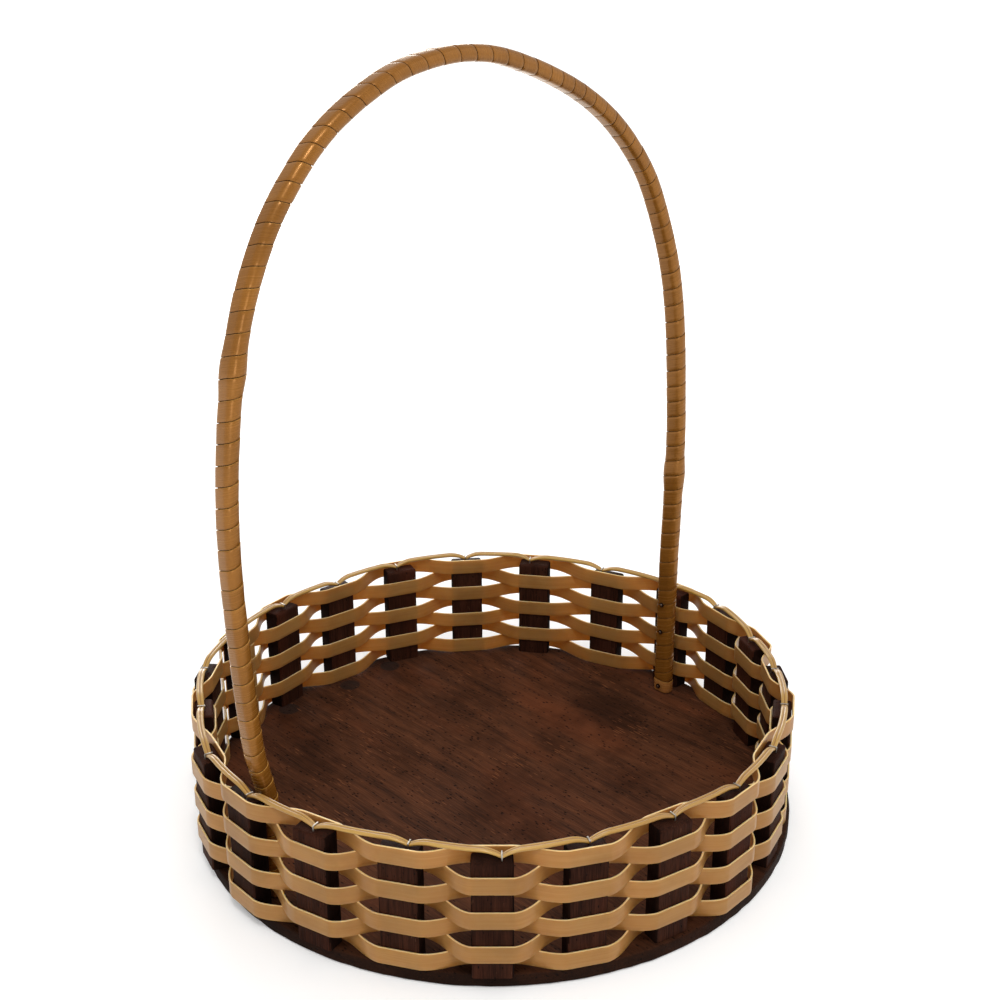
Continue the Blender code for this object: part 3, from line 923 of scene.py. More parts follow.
def polar(angle: float, radius: float, height: float) -> Vector:
    """Point at an angle and distance from the basket's axis."""
    return Vector((radius * math.cos(angle), radius * math.sin(angle), height))


def hermite(share: float, start: Vector, end: Vector, leave: Vector, arrive: Vector) -> Vector:
    """Find a point on a cubic between two points.

    Args:
        share: How far along, 0 to 1.
        start: First point.
        end: Last point.
        leave: Slope at the first.
        arrive: Slope at the last.

    Returns:
        The point.
    """
    square, cube = share ** 2, share ** 3
    return (
        start * (2 * cube - 3 * square + 1) + leave * (cube - 2 * square + share)
        + end * (3 * square - 2 * cube) + arrive * (cube - square)
    )


def run_lengths(points: Sequence[Vector]) -> list[float]:
    """Measure a line of points.

    Args:
        points: The points.

    Returns:
        Length along the line up to each of them.
    """
    runs = [0.0]
    for before, after in zip(points, points[1:]):
        runs.append(runs[-1] + (after - before).length)
    return runs


def add_ribbon(name: str, columns: int, rows: int, place: Callable[[int, float], Vector],
               runs: Sequence[float]) -> bpy.types.Object:
    """Add a flat grid and bend it into a strip, with its UV map along and across it.

    Args:
        name: Name of the strip.
        columns: Faces along it.
        rows: Faces across it.
        place: Gives the point for a column and a share across.
        runs: Length along the strip at each column.

    Returns:
        The strip, without thickness.
    """
    deselect()
    bpy.ops.mesh.primitive_grid_add(x_subdivisions=columns, y_subdivisions=rows, size=1.0)
    ribbon = named(name)
    layer = ribbon.data.uv_layers[0]
    layer.name = STRIP_UV
    for vert in ribbon.data.vertices:
        vert.co = place(round((vert.co.x + 0.5) * columns), vert.co.y + 0.5)
    for loop in layer.data:
        loop.uv = (runs[round(loop.uv[0] * columns)], loop.uv[1])
    return ribbon


def thicken(obj: bpy.types.Object, thickness: float, edge: float, degrees: float = 40.0) -> None:
    """Give a strip its thickness and eased edges, faces outwards.

    Args:
        obj: The strip.
        thickness: Its thickness.
        edge: Width of the eased edge.
        degrees: Sharpest angle that is shaded smooth.
    """
    apply_modifier(obj, "SOLIDIFY", thickness=thickness, offset=0.0, use_even_offset=True)
    outward_faces(obj)
    ease_edges(obj, edge, degrees=60.0)
    smooth(obj, degrees)


# Sub-assemblies


@dataclass
class Board:
    """The round board with its dark sawn edge."""

    segments: int = 180
    ease: float = 0.0009
    rings: tuple[float, ...] = (0.0035, 0.012, 0.03)
    ragged: float = 0.00035
    chip_waves: tuple[float, float] = (260.0, 900.0)
    fine_chips: float = 0.6
    chips_below: float = 1.6
    chips_above: float = 0.5
    finish: StainedWood = StainedWood(
        name="board_finish",
        light=from_srgb(94, 56, 36),
        dark=from_srgb(46, 27, 18),
        red=from_srgb(104, 56, 33),
        scratch=from_srgb(132, 80, 50),
        grain=Grain.ACROSS_HANDLE,
        pore_share=0.31,
        scratch_share=0.3,
        gloss=0.025,
        plugs=((-0.0342, 0.1320), (0.0075, 0.1301), (0.0389, 0.1319)),
        edge_radius=0.1488,
    )

    def build(self, groups: Groups) -> None:
        """Model and dress the board.

        Args:
            groups: The shared node groups.
        """
        low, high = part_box("base_board")
        radius, middle = (high.x - low.x) / 2, (low.z + high.z) / 2
        deselect()
        bpy.ops.mesh.primitive_cylinder_add(
            vertices=self.segments, radius=radius - self.ragged, depth=high.z - low.z,
            location=(0.0, 0.0, middle), end_fill_type="NGON",
        )
        board = named("board")
        bpy.ops.object.transform_apply(location=True, rotation=True, scale=True)
        with editing(board):
            pick(board, "faces", lambda face: abs(face.normal.z) > FACING)
            for step in self.rings:
                bpy.ops.mesh.inset(thickness=step, use_individual=True)
        ease_edges(board, self.ease, segments=3, degrees=40.0)
        self.chip(board, radius, middle)
        smooth(board, 50.0)
        dress(board, self.finish.material(groups))
        settle(board, "stained_wood", "base_board")

    def chip(self, board: bpy.types.Object, radius: float, middle: float) -> None:
        """Leave the sawn edge ragged, more so below.

        Args:
            board: The board.
            radius: Its radius.
            middle: Height of its middle.
        """
        broad, fine = self.chip_waves
        for vert in board.data.vertices:
            reach = vert.co.xy.length
            if reach > radius - 3 * self.ease:
                chip = noise.noise(vert.co * broad) + self.fine_chips * noise.noise(vert.co * fine)
                share = self.chips_below if vert.co.z < middle else self.chips_above
                vert.co.xy *= 1 + chip * self.ragged * share / reach / self.chips_below


@dataclass
class Stakes:
    """The ring of short stakes, each with its staple on top and its pin below."""

    width: float = 0.0177
    thickness: float = 0.009
    corner: float = 0.0013
    levels: int = 14
    clearance: float = 0.0003
    marks: tuple[float, float] = (0.00022, 0.0001)
    mark_waves: tuple[tuple[float, ...], ...] = ((160.0, 160.0, 40.0), (700.0, 700.0, 300.0))
    mark_seeds: tuple[float, float] = (3.1, 1.3)
    wire: float = 0.00045
    wire_width: float = 0.0007
    wire_ease: float = 0.3
    leg: float = 0.0030
    cane_width: float = 0.0029
    cane_height: float = 0.0020
    pin_size: tuple[float, float] = (0.0012, 0.0016)
    pin_inset: float = 0.0015
    pin_reach: float = 0.004
    pin_point: float = 0.0025
    pin_tip: float = 0.35
    pin_ease: float = 0.00012
    finish: StainedWood = StainedWood(
        name="stake_finish",
        light=from_srgb(63, 35, 24),
        dark=from_srgb(29, 14, 9),
        red=from_srgb(70, 33, 20),
        scratch=from_srgb(120, 84, 60),
        grain=Grain.UPRIGHT,
        pore_share=0.2,
        scratch_share=0.14,
        gloss=0.03,
        relief=0.0004,
    )
    # Darker copy of the stake finish for the sides: painted shade
    side_shade_finish: StainedWood = replace(
        finish,
        name="stake_side_finish",
        light=from_srgb(30, 15, 10),
        dark=from_srgb(15, 7, 5),
        red=from_srgb(34, 16, 10),
        scratch=from_srgb(56, 34, 24),
        scratch_share=0.1,
        roughness=0.8,
    )
    steel: Steel = Steel("staple_finish", from_srgb(178, 172, 162), from_srgb(92, 82, 72), 0.36)

    def block(self, height: float) -> bpy.types.Object:
        """Model one stake.

        Args:
            height: Its height.

        Returns:
            The stake, X outward, with its foot at the origin.
        """
        block = add_block("stake_block", (self.thickness, self.width, height), (0.0, 0.0, height / 2))
        with editing(block):
            pick(block, "edges", lambda edge: max(v.co.z for v in edge.verts) > height / 2)
            bpy.ops.mesh.bevel(offset=self.corner, segments=3, affect="EDGES", clamp_overlap=True)
            bpy.ops.mesh.select_all(action="SELECT")
            bpy.ops.mesh.subdivide(number_cuts=1)
            for level in range(1, self.levels):
                cut_level(height * level / self.levels)
        return block

    def staple(self) -> bpy.types.Object:
        """Model one rim staple.

        Returns:
            The staple across X, the underside of its crown at the origin.
        """
        half = self.cane_width / 2
        size = (self.wire, self.wire_width, self.wire)
        staple = add_block("staple_wire", size, (-half - self.wire / 2, 0.0, self.wire / 2))
        with editing(staple):
            pick(staple, "faces", lambda face: face.normal.x > FACING)
            extrude(2 * half, 0.0)
            extrude(self.wire, 0.0)
            pick(staple, "faces", lambda face: (
                face.normal.z < -FACING and abs(face.calc_center_median().x) > half
            ))
            extrude(0.0, -self.leg)
        ease_edges(staple, self.wire * self.wire_ease)
        return staple

    def pin(self, low: float, high: float) -> bpy.types.Object:
        """Model one pin that comes up through the board, its lower end pointed.

        Args:
            low: Height of its point.
            high: Height of its upper end.

        Returns:
            The pin.
        """
        pin = add_block("pin", (*self.pin_size, high - low), (0.0, 0.0, (high + low) / 2))
        with editing(pin):
            cut_level(low + self.pin_point)
            pick(pin, "faces", lambda face: face.normal.z < -FACING)
            bpy.ops.transform.resize(value=(self.pin_tip, self.pin_tip, 1.0))
        ease_edges(pin, self.pin_ease)
        return pin

    def build(self, plan: Plan, groups: Groups) -> None:
        """Model and dress the ring.

        Args:
            plan: Places of the stakes.
            groups: The shared node groups.
        """
        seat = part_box("rim_cane")[0].z
        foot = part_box("base_board")[1].z + self.clearance
        wood, side, steel = (made.material(groups) for made in (self.finish, self.side_shade_finish, self.steel))
        block = self.block(seat - self.clearance - foot)
        staple = self.staple()
        pin = self.pin(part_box("stake_02")[0].z, foot + self.pin_reach)
        for number, place in enumerate(plan.stakes, start=1):
            name = f"stake_{number:02d}"
            stake = copy_piece(block, "slat_" + name, place.frame(height=foot))
            for depth, waves, seed in zip(self.marks, self.mark_waves, self.mark_seeds):
                roughen(stake, depth, waves, number * seed)
            smooth(stake, 32.0)
            dress(stake, wood, side)
            along = place.spot(0.0, 1.0) - place.spot(0.0, 0.0)
            # Faces along the wall take the darker copy, painted shade on the stake sides
            for polygon in stake.data.polygons:
                polygon.material_index = 1 if abs(polygon.normal.dot(along)) > SIDEWAYS else 0
            settle(stake, "stained_wood", name)
            over = Matrix.Translation((place.head.x, place.head.y, seat + self.cane_height))
            wire = copy_piece(staple, f"rim_staple_{number:02d}", over @ Matrix.Rotation(place.angle, 4, "Z"))
            smooth(wire)
            dress(wire, steel)
            settle(wire, "steel")
            shank = copy_piece(pin, f"stake_pin_{number:02d}", place.frame(outward=-self.pin_inset))
            dress(shank, steel)
            settle(shank, "steel")
        for helper in (block, staple, pin):
            bpy.data.objects.remove(helper, do_unlink=True)


@dataclass
class Weave:
    """The seven woven strips.

    `laid` gives the shares of a stake's width at which a strip has its points, and `ease` how far
    the curve between two stakes gives way to the straight line.
    """

    thickness: float = 0.0008
    lie: float = 0.0052
    half: float = 0.00885
    ease: float = 0.25
    samples: int = 14
    near: float = 0.025
    across: int = 4
    overrun: float = 0.007
    waver: float = 0.0003
    waver_waves: float = 1.5
    row_seed: float = 31.7
    step_seed: float = 5.3
    tone_seed: float = 3.7
    edge: float = 0.00014
    laid: tuple[float, ...] = (0.0, 0.03, 0.25, 0.5, 0.75, 0.97, 1.0)
    finish: SplitStrip = SplitStrip(
        name="woven_strip_finish",
        light=from_srgb(176, 131, 75),
        dark=from_srgb(157, 111, 58),
        # Painted highlight along each strip's top edge, painted shade along its lower edge
        edge=from_srgb(246, 206, 150),
        lower_edge_shade=from_srgb(140, 86, 40),
        glow=0.85,
    )

    def path(self, plan: Plan, row: int) -> list[Vector]:
        """Lay out a row: flat over each stake, in a double curve between two.

        Args:
            plan: Places of the stakes.
            row: The row's number.

        Returns:
            Plan points along the row.
        """
        points: list[Vector] = []
        for step in range(plan.count + 1):
            here = plan.at(plan.lap + step)
            out = plan.side(row, step).value * self.lie
            low = -self.overrun if step == 0 else -self.half
            high = self.overrun if step == plan.count else self.half
            points += [here.spot(out, low + (high - low) * share) for share in self.laid]
            if step < plan.count:
                seed = row * self.row_seed + step * self.step_seed
                points += self.span(here, plan.at(plan.lap + step + 1), out, seed)
        return points

    def span(self, here: StakePlace, there: StakePlace, out: float, seed: float) -> list[Vector]:
        """Carry a strip between two stakes, from one side of the wall to the other.

        Args:
            here: The stake that the strip leaves.
            there: The stake that it reaches.
            out: Outward offset on the first stake.
            seed: Offset of the strip's unevenness.

        Returns:
            The points between the two corners.
        """
        start, end = here.spot(out, self.half), there.spot(-out, -self.half)
        chord = end - start
        leave = (start - here.spot(out, 0.0)).normalized() * chord.length
        arrive = (there.spot(-out, 0.0) - end).normalized() * chord.length
        leave, arrive = leave.lerp(chord, self.ease), arrive.lerp(chord, self.ease)
        across = Vector((-chord.y, chord.x, 0.0)).normalized()
        shares = [self.near] + [k / self.samples for k in range(1, self.samples)] + [1 - self.near]
        points = []
        for share in shares:
            drift = noise.noise(Vector((share * self.waver_waves, seed, 0.0))) * self.waver
            uneven = drift * math.sin(math.pi * share)
            points.append(hermite(share, start, end, leave, arrive) + across * uneven)
        return points

    def build(self, plan: Plan, groups: Groups) -> None:
        """Model and dress the strips.

        Args:
            plan: Places of the stakes.
            groups: The shared node groups.
        """
        for row in range(1, plan.rows + 1):
            node = f"weaver_row_{row}"
            low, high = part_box(node)
            points = self.path(plan, row)

            def place(column: int, share: float) -> Vector:
                """Point of this row's strip."""
                return points[column] + Vector((0.0, 0.0, low.z + (high.z - low.z) * share))

            name = f"woven_strip_{row}"
            strip = add_ribbon(name, len(points) - 1, self.across, place, run_lengths(points))
            thicken(strip, self.thickness, self.edge, 30.0)
            finish = replace(self.finish, name=name + "_finish", seed=row * self.tone_seed)
            dress(strip, finish.material(groups))
            settle(strip, "woven_strip", node)


@dataclass
class Rim:
    """The ridged cane stapled along the stake tops."""

    width: float = 0.0034
    height: float = 0.0024
    pinched_width: float = 0.0028
    pinched_height: float = 0.0019
    dip: float = 0.24
    groove: float = 0.22
    groove_reach: float = 0.45
    groove_power: float = 1.4
    crown_power: float = 0.8
    end_gap: float = 0.002
    samples: int = 36
    around: int = 24
    finish: RimCane = RimCane()

    def build(self, plan: Plan, groups: Groups) -> None:
        """Model and dress the cane.

        Args:
            plan: Places of the stakes.
            groups: The shared node groups.
        """
        points, rises = self.path(plan)

        def place(column: int, share: float) -> Vector:
            """Find a point on the rolled section of the cane.

            Args:
                column: Index of the point on its line.
                share: Share of the way round the section.

            Returns:
                The point.
            """
            point = points[column]
            across, up = self.profile(share % 1.0)
            outward = Vector((point.x, point.y, 0.0)).normalized()
            width = self.pinched_width + (self.width - self.pinched_width) * rises[column]
            height = self.pinched_height + (self.height - self.pinched_height) * rises[column]
            return point + outward * across * width + Vector((0.0, 0.0, up * height))

        cane = add_ribbon("rim_strand", len(points) - 1, self.around, place, run_lengths(points))
        for loop in cane.data.uv_layers[STRIP_UV].data:
            loop.uv = (loop.uv[0], self.profile(loop.uv[1] % 1.0)[0] + 0.5)
        outward_faces(cane)
        self.close_ends(cane)
        smooth(cane, 60.0)
        dress(cane, self.finish.material(groups))
        settle(cane, "rim_cane", "rim_cane")

    def path(self, plan: Plan) -> tuple[list[Vector], list[float]]:
        """Lay out the cane's underside, pinched down at each staple and bowed up between two.

        Args:
            plan: Places of the stakes.

        Returns:
            Points along the cane, and how far each has risen from the pinch, 0 to 1.
        """
        low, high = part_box("rim_cane")
        bow = high.z - low.z - self.height
        points, rises = [], []
        heads = plan.heads()
        for (start, near), (end, far) in zip(heads, heads[1:]):
            for sample in range(self.samples):
                share = sample / self.samples
                away = min(1.0, min(share, 1 - share) / self.dip)
                rise = 1 - (1 - away) ** 2
                angle, radius = start + (end - start) * share, near + (far - near) * share
                points.append(polar(angle, radius, low.z + rise * bow))
                rises.append(rise)
        points.append(polar(heads[-1][0] - self.end_gap, heads[-1][1], low.z))
        rises.append(0.0)
        return points, rises

    def profile(self, share: float) -> tuple[float, float]:
        """Follow the cane's section once round from its underside's middle.

        Args:
            share: Share of the way round.

        Returns:
            Offset across and height, as shares of the width and the height.
        """
        turn = 2 * math.pi * share
        across = -math.sin(turn)
        up = (1 - math.cos(turn)) / 2
        valley = max(0.0, 1 - abs(across) / self.groove_reach) ** self.groove_power
        dip = self.groove * valley if up > 0.5 else 0.0
        return across * 0.5, min(1.0, up ** self.crown_power) - dip

    def close_ends(self, cane: bpy.types.Object) -> None:
        """Close the cane's two cut ends.

        Args:
            cane: The cane.
        """
        with editing(cane):
            bpy.ops.mesh.select_all(action="DESELECT")
            bpy.ops.mesh.select_mode(type="EDGE")
            bpy.ops.mesh.select_non_manifold()
            bpy.ops.mesh.edge_face_add()


@dataclass
class Handle:
    """The wound handle, with a closed band on each foot.

    `shares` gives the corners of its centre line, as shares of the half span and the rise. `seams`
    pairs a count of turns with the share of that line at which the next turn begins.
    """

    half_span: float = 0.13445
    rise: float = 0.3605
    offset: float = 0.0016
    foot: float = 0.0068
    half_thick: float = 0.0034
    half_wide: float = 0.0052
    corner: float = 0.0030
    bends: int = 7
    curve_samples: int = 16
    thickness: float = 0.00045
    edge: float = 0.00016
    across: int = 5
    cover: float = 0.966
    first_turn: int = -9
    last_turn: int = 95
    tilt: float = 0.00022
    lower_proud: float = 0.6
    tilt_waver: float = 1.3
    tilt_waves: float = 0.83
    wobble: float = 0.00012
    wobble_waves: float = 1.7
    band: float = 0.0070
    band_start: float = 0.0003
    band_gap: float = 0.0004
    band_reach: float = 0.00016
    band_edge: float = 0.0002
    band_across: int = 3
    splices: tuple[float, ...] = (0.286, 0.848)
    splice_reach: float = 0.013
    splice_height: float = 0.0007
    finish: SplitStrip = SplitStrip(
        name="wound_strip_finish",
        light=from_srgb(148, 97, 35),
        dark=from_srgb(136, 85, 29),
        # Painted glint along one edge of each turn, painted shade along the other at the seams
        edge=from_srgb(204, 150, 72),
        lower_edge_shade=from_srgb(92, 52, 20),
        seed=11.0,
        metallic=0.25,
        roughness=0.27,
        gloss=0.35,
        relief=0.000004,
        coat=0.0,
        edge_width=0.012,
    )
    # Lighter copy of the winding's colours for the foot bands: painted light on the feet
    lit_band_light: Colour = from_srgb(180, 124, 68)
    lit_band_dark: Colour = from_srgb(160, 104, 52)
    shares: tuple[tuple[float, float], ...] = (
        (-1.017, 0.0), (-1.017, 0.08), (-1.017, 0.138), (-1.029, 0.164), (-1.043, 0.187),
        (-1.055, 0.21), (-1.063, 0.24), (-1.071, 0.28), (-1.085, 0.38), (-1.091, 0.48),
        (-1.079, 0.565), (-1.048, 0.656), (-1.007, 0.725), (-0.952, 0.784),
        (-0.868, 0.845), (-0.744, 0.903), (-0.624, 0.941), (-0.487, 0.970),
        (-0.366, 0.988), (-0.206, 0.999), (-0.082, 1.0), (0.048, 0.993),
        (0.228, 0.972), (0.42, 0.940), (0.581, 0.900), (0.731, 0.843),
        (0.826, 0.785), (0.92, 0.697), (0.972, 0.606), (1.002, 0.483),
        (1.01, 0.41), (1.006, 0.31), (1.0, 0.225), (1.0, 0.12), (1.0, 0.0),
    )
    seams: tuple[tuple[float, float], ...] = (
        (0.0, 0.0685), (11.0, 0.1814), (18.0, 0.2535), (28.0, 0.3537), (37.0, 0.4445), (47.0, 0.5503),
        (51.17, 0.5883), (63.17, 0.7061), (71.17, 0.7889), (82.17, 0.8957), (91.17, 0.9845),
    )

    def __post_init__(self) -> None:
        """Work out the centre line, a smooth curve through the shares of the half span and rise."""
        corners = [
            Vector((x * self.half_span, self.offset, self.foot + z * self.rise)) for x, z in self.shares
        ]
        ends = [2 * corners[0] - corners[1]] + corners + [2 * corners[-1] - corners[-2]]
        self.points: list[Vector] = []
        for p0, p1, p2, p3 in zip(ends, ends[1:], ends[2:], ends[3:]):
            for sample in range(self.curve_samples):
                t = sample / self.curve_samples
                bend = 2 * p0 - 5 * p1 + 4 * p2 - p3
                twist = 3 * p1 - p0 - 3 * p2 + p3
                self.points.append(p1 + ((p2 - p0) * t + bend * t ** 2 + twist * t ** 3) / 2)
        self.points.append(corners[-1])
        self.runs = run_lengths(self.points)

    def at(self, run: float) -> tuple[Vector, Vector]:
        """Find a place on the centre line, also past its ends.

        Args:
            run: Length along the line.

        Returns:
            The point and the outward normal.
        """
        low, high = 0, len(self.runs) - 1
        while high - low > 1:
            middle = (low + high) // 2
            low, high = (middle, high) if self.runs[middle] <= run else (low, middle)
        share = (run - self.runs[low]) / (self.runs[high] - self.runs[low])
        before, after = self.points[max(low - 1, 0)], self.points[min(high + 1, len(self.points) - 1)]
        tangent = (after - before).normalized()
        return self.points[low].lerp(self.points[high], share), Vector((-tangent.z, 0.0, tangent.x))

    def section(self, reach: float) -> list[Vector]:
        """Go once round the wound section, from the middle of its outer near corner.

        Args:
            reach: Distance outside the section's usual surface.

        Returns:
            Points whose X is outward and whose Y is across the handle.
        """
        # The first corner is cut in its middle and met again after the fourth
        radius = self.corner + reach
        flat = Vector((self.half_thick - self.corner, self.half_wide - self.corner))
        points = []
        for quarter in range(5):
            side = (1 if quarter in (0, 3, 4) else -1, -1 if quarter in (0, 1, 4) else 1)
            centre = Vector((flat.x * side[0], flat.y * side[1]))
            first = self.bends // 2 if quarter == 0 else 0
            for bend in range(first, self.bends):
                angle = -math.pi / 2 * (quarter + bend / (self.bends - 1))
                points.append(centre + Vector((math.cos(angle), math.sin(angle))) * radius)
            if quarter in (1, 3):
                points.append((points[-1] + Vector((points[-1].x, -points[-1].y))) / 2)
        half = self.bends - self.bends // 2
        return points[:-half]

    def on_section(self, run: float, reach: float, step: int) -> Vector:
        """Point of the section at a length along the centre line."""
        spot, (point, normal) = self.section(reach)[step], self.at(run)
        return point + normal * spot.x + Vector((0.0, spot.y, 0.0))

    def seam(self, turn: float) -> float:
        """Find where the winding's edge crosses the section's outer near corner.

        Args:
            turn: Turns made, counted from the first seam.

        Returns:
            Length along the centre line.
        """
        table = self.seams
        k = max(0, min(len(table) - 2, sum(turn > entry[0] for entry in table[1:])))
        (low, start), (high, end) = table[k], table[k + 1]
        return (start + (end - start) * (turn - low) / (high - low)) * self.runs[-1]

    def swell(self, run: float) -> float:
        """Raise the winding where one length of strip gives way to the next.

        Args:
            run: Length along the centre line.

        Returns:
            The extra reach.
        """
        total = 0.0
        for share in self.splices:
            away = abs(run - share * self.runs[-1]) / self.splice_reach
            if away < 1:
                total += self.splice_height * (1 + math.cos(math.pi * away)) / 2
        return total

    def lean(self, turn: float, run: float) -> float:
        """How far the strip's far edge stands off more than its near one; the lower turn is proud."""
        waver = self.tilt_waver * noise.noise(Vector((turn * self.tilt_waves, 7.0, 3.0)))
        return self.tilt * (self.lower_proud * (1 - 2 * run / self.runs[-1]) + waver)

    def build(self, groups: Groups) -> None:
        """Model and dress the winding and the bands on its feet.

        Args:
            groups: The shared node groups.
        """
        # The foot bands take a lighter copy of the winding's finish, painted light, with the same painted
        # edge highlight and shade
        band = replace(self.finish, name="foot_band_lit_finish", light=self.lit_band_light, dark=self.lit_band_dark)
        lit_band_material = band.material(groups)
        round_once = run_lengths(self.section(0.0) + self.section(0.0)[:1])
        steps, whole = len(round_once) - 1, round_once[-1]
        columns = (self.last_turn - self.first_turn) * steps

        def place(column: int, share: float) -> Vector:
            """Find a point of the winding.

            Args:
                column: Index of the point along the strip.
                share: Share of the way across it.

            Returns:
                The point.
            """
            lap, step = divmod(column, steps)
            turn = self.first_turn + lap + round_once[step] / whole
            run = self.seam(turn + 0.5 + (share - 0.5) * self.cover)
            wobble = self.wobble * noise.noise(Vector((turn * self.wobble_waves, 0.0, 3.0)))
            reach = self.lean(turn, run) * (share - 0.5) + self.swell(run) + wobble
            return self.on_section(run, reach, step)

        runs = [(column // steps) * whole + round_once[column % steps] for column in range(columns + 1)]
        wrap = add_ribbon("wound_strip", columns, self.across, place, runs)
        thicken(wrap, self.thickness, self.edge)
        with editing(wrap):
            cut_level(self.foot + self.band + self.band_gap, use_fill=True, clear_inner=True)
        dress(wrap, replace(self.finish, turn_length=whole).material(groups))
        settle(wrap, "wound_strip", "handle_wrap")
        self.foot_band("foot_band_far", 0.0, 1.0, round_once, lit_band_material)
        self.foot_band("foot_band_near", self.runs[-1], -1.0, round_once, lit_band_material)

    def foot_band(self, name: str, run: float, inward: float, round_once: Sequence[float],
                  material: bpy.types.Material) -> None:
        """Model the last turn on a foot, which closes on itself.

        Args:
            name: Name of the piece.
            run: Length along the centre line of the foot's end.
            inward: 1 where the centre line runs away from that end, otherwise -1.
            round_once: Length round the section at each of its points.
            material: Its material.
        """
        steps = len(round_once) - 1

        def place(column: int, share: float) -> Vector:
            """Point of the band."""
            up = self.band_start + (self.band - self.band_start) * share
            return self.on_section(run + inward * up, self.band_reach, column % steps)

        band = add_ribbon(name, steps, self.band_across, place, round_once)
        outward_faces(band)
        thicken(band, self.thickness, self.band_edge)
        dress(band, material)
        settle(band, "wound_strip")


@dataclass
class Nails:
    """The nails in the handle's legs, each with a small bright head in a pressed dip painted dark as shade.
    """

    count: int = 6
    sides: int = 20
    radius: float = 0.0013
    depth: float = 0.0006
    collar: float = 0.0003
    slope: float = 0.00035
    sink: float = 0.0002
    boss: float = 0.0003
    boss_ease: float = 0.0002
    crown: float = 0.0001
    shank_inset: float = 0.0007
    shank_spare: float = 0.0008
    bright_radius: float = 0.00068
    steel: Steel = Steel("nail_finish", from_srgb(196, 190, 182), from_srgb(120, 104, 90), 0.25)
    # Painted shade in the pressed dip round each head
    hollow_shade: Steel = Steel("nail_hollow_finish", from_srgb(46, 28, 18), from_srgb(16, 9, 6), 0.6)

    def place(self, node: str) -> tuple[Vector, Vector]:
        """Read a nail's place from its CAD node.

        Args:
            node: Name of the node.

        Returns:
            The middle of its head on the winding, and its direction.
        """
        verts = [vert.co for vert in frame["nodes"][node].data.vertices]
        inward = 1 if verts[0].x < 0 else -1
        ordered = sorted(verts, key=lambda co: inward * co.x)
        count = max(4, len(ordered) // 5)
        tip = sum(ordered[:count], Vector()) / count
        head = sum(ordered[-count:], Vector()) / count
        return head, (head - tip).normalized()

    def model(self, name: str, shank: float) -> bpy.types.Object:
        """Model one nail along Z.

        Args:
            name: Its name.
            shank: Length of its shank.

        Returns:
            The nail, its head's middle at the origin.
        """
        deselect()
        bpy.ops.mesh.primitive_cylinder_add(vertices=self.sides, radius=self.radius, depth=self.depth)
        nail = named(name)
        with editing(nail):
            pick(nail, "faces", lambda face: face.normal.z > FACING)
            bpy.ops.mesh.inset(thickness=self.collar)
            bpy.ops.mesh.inset(thickness=self.slope)
            bpy.ops.transform.translate(value=(0.0, 0.0, -self.sink))
            extrude(0.0, self.boss)
            bpy.ops.mesh.inset(thickness=self.boss_ease)
            bpy.ops.transform.translate(value=(0.0, 0.0, self.crown))
            pick(nail, "faces", lambda face: face.normal.z < -FACING)
            bpy.ops.mesh.inset(thickness=self.shank_inset)
            extrude(0.0, -shank)
        return nail

    def build(self, groups: Groups) -> None:
        """Model and dress the nails.

        Args:
            groups: The shared node groups.
        """
        steel, hollow_shade = self.steel.material(groups), self.hollow_shade.material(groups)
        for number in range(1, self.count + 1):
            node = f"handle_nail_{number}"
            head, way = self.place(node)
            low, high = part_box(node)
            nail = self.model(f"leg_nail_{number}", high.x - low.x - self.shank_spare)
            turn = way.to_track_quat("Z", "Y").to_matrix().to_4x4()
            nail.data.transform(Matrix.Translation(head - way * self.depth / 2) @ turn)
            smooth(nail)
            dress(nail, steel, hollow_shade)
            # Faces round the bright head take the painted shade
            for polygon in nail.data.polygons:
                out = (polygon.center - head).cross(way).length
                polygon.material_index = 1 if out > self.bright_radius else 0
            settle(nail, "steel", node)


@dataclass
class KeptParts:
    """CAD nodes whose shape stays: the handle's core and the strip staples."""

    core: StainedWood = StainedWood(
        name="core_finish",
        light=from_srgb(164, 124, 82),
        dark=from_srgb(116, 82, 52),
        red=from_srgb(150, 96, 60),
        scratch=from_srgb(196, 160, 116),
        grain=Grain.UPRIGHT,
        roughness=0.65,
    )
    steel: Steel = Steel("strip_staple_finish", from_srgb(160, 156, 150), from_srgb(90, 80, 72))

    def dress(self, groups: Groups) -> None:
        """Give the kept nodes their finishes.

        Args:
            groups: The shared node groups.
        """
        wood, steel = self.core.material(groups), self.steel.material(groups)
        for name, node in frame["nodes"].items():
            if name == "handle_core":
                dress(node, wood)
            elif name.startswith("strip_staple"):
                dress(node, steel)


# Studio


@dataclass(frozen=True)
class Lamp:
    """A soft square lamp that faces the basket."""

    name: str
    place: tuple[float, float, float]
    size: float
    power: float
    colour: Colour
    aim: tuple[float, float, float] = (0.0, 0.0, 0.12)

    def build(self) -> None:
        """Add the lamp."""
        data = bpy.data.lights.new(self.name, "AREA")
        data.size, data.energy, data.color = self.size, self.power, self.colour
        lamp = bpy.data.objects.new(self.name, data)
        lamp.location = self.place
        way = Vector(self.aim) - Vector(self.place)
        lamp.rotation_euler = way.to_track_quat("-Z", "Y").to_euler()
        bpy.context.collection.objects.link(lamp)


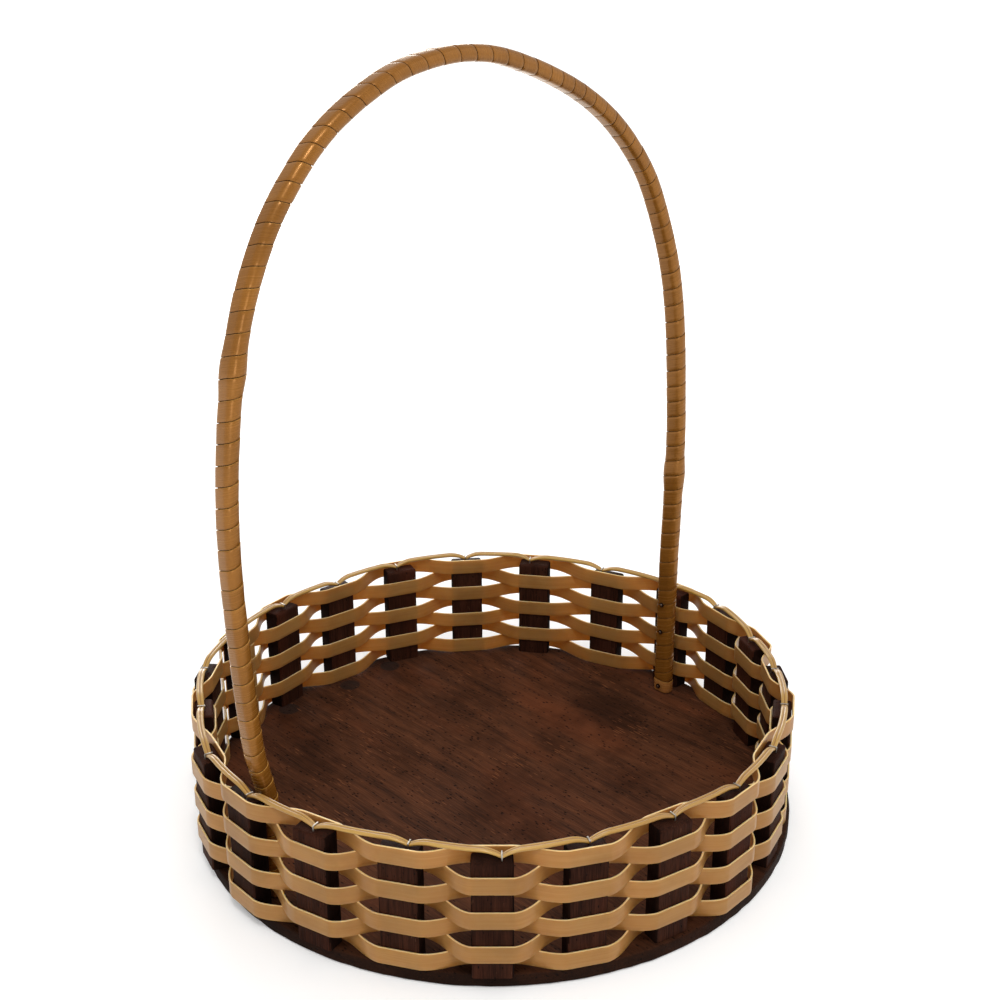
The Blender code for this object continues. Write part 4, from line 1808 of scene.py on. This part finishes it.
@dataclass
class Studio:
    """Floor, surroundings, lamps and camera."""

    position: tuple[float, float, float] = (-0.4441, -0.4742, 0.4242)
    heading: float = math.radians(43.4)
    down: float = math.radians(21.98)
    roll: float = math.radians(0.13)
    focal_pixels: float = 1471.0
    frame_pixels: float = 1000.0
    sensor: float = 36.0
    nearest: float = 0.01
    floor_size: float = 16.0
    floor_level: float = -0.0004
    pale: float = 0.9
    lamps: tuple[Lamp, ...] = (
        Lamp("key", (-0.7, -0.85, 1.75), 1.2, 5.5, (1.0, 0.98, 0.95)),
        Lamp("glint", (-0.7, -0.9, 1.75), 0.3, 10.0, (1.0, 0.98, 0.95)),
        Lamp("low", (-1.2, -1.35, 0.28), 0.6, 5.0, (1.0, 0.99, 0.97)),
        Lamp("fill", (1.2, -1.2, 0.9), 1.4, 4.5, (0.97, 0.98, 1.0)),
        Lamp("back", (0.8, 1.4, 0.35), 0.9, 16.0, (1.0, 0.98, 0.96)),
    )

    def camera(self) -> None:
        """Place the camera at the photograph's angle."""
        sine, cosine = math.sin(self.heading), math.cos(self.heading)
        forward = Vector((sine * math.cos(self.down), cosine * math.cos(self.down), -math.sin(self.down)))
        right = Vector((cosine, -sine, 0.0))
        below = forward.cross(right)
        side = right * math.cos(self.roll) + below * math.sin(self.roll)
        low = below * math.cos(self.roll) - right * math.sin(self.roll)
        data = bpy.data.cameras.new("camera")
        data.sensor_width = self.sensor
        data.lens = self.focal_pixels * self.sensor / self.frame_pixels
        data.clip_start = self.nearest
        camera = bpy.data.objects.new("camera", data)
        bpy.context.collection.objects.link(camera)
        matrix = Matrix((side, -low, -forward)).transposed().to_4x4()
        matrix.translation = self.position
        camera.matrix_world = matrix
        bpy.context.scene.camera = camera

    def seen(self, graph: Graph) -> Socket:
        """Tell the rays that show the background.

        Args:
            graph: Graph of the floor or the world.

        Returns:
            1 for rays of the camera, of gloss and of transmission, otherwise 0.
        """
        path = graph.node("LightPath").outputs
        seen = graph.math("MAXIMUM", path["Is Camera Ray"], path["Is Transmission Ray"])
        return graph.math("MAXIMUM", seen, path["Is Glossy Ray"])

    def floor(self) -> None:
        """Add the pale floor, which turns white to the camera away from the basket's shadow."""
        deselect()
        bpy.ops.mesh.primitive_plane_add(size=self.floor_size, location=(0.0, 0.0, self.floor_level))
        floor = named("floor")
        material, graph, shader = open_material("floor_finish")
        away = graph.times(graph.ramp(graph.length(graph.place()), low=0.2, high=0.6), 0.5)
        glow = graph.times(graph.plus(away, 0.2), self.seen(graph))
        graph.fill(
            shader, Base_Color=(self.pale,) * 3, Roughness=0.9, Specular_IOR_Level=0.0,
            Emission_Color=graph.join(glow, glow, glow), Emission_Strength=1.0,
        )
        dress(floor, material)

    def world(self) -> None:
        """White surroundings for the camera and the gloss, soft light for the rest."""
        world = bpy.data.worlds.new("surroundings")
        world.use_nodes = True
        graph = Graph(world.node_tree)
        height = graph.split(graph.node("TexCoord").outputs["Generated"])[2]
        sky = graph.plus(graph.times(graph.ramp(height, low=0.0, high=0.8), 0.45), 0.3)
        strength = graph.math("MAXIMUM", sky, self.seen(graph))
        graph.fill(world.node_tree.nodes["Background"], Color=(1.0, 1.0, 1.0), Strength=strength)
        bpy.context.scene.world = world

    def build(self) -> None:
        """Set the studio up."""
        self.camera()
        self.floor()
        self.world()
        for lamp in self.lamps:
            lamp.build()
        bpy.context.scene.view_settings.view_transform = "Standard"


# Sizes and start


def main() -> None:
    """Build and dress the basket, then the studio."""
    logging.basicConfig(level=logging.INFO, format="%(name)s: %(message)s")
    noise.seed_set(NOISE_SEED)
    groups = Groups()
    plan = Plan()
    Board().build(groups)
    Stakes().build(plan, groups)
    Weave().build(plan, groups)
    Rim().build(plan, groups)
    Handle().build(groups)
    Nails().build(groups)
    KeptParts().dress(groups)
    Studio().build()


if __name__ == "__main__":
    main()
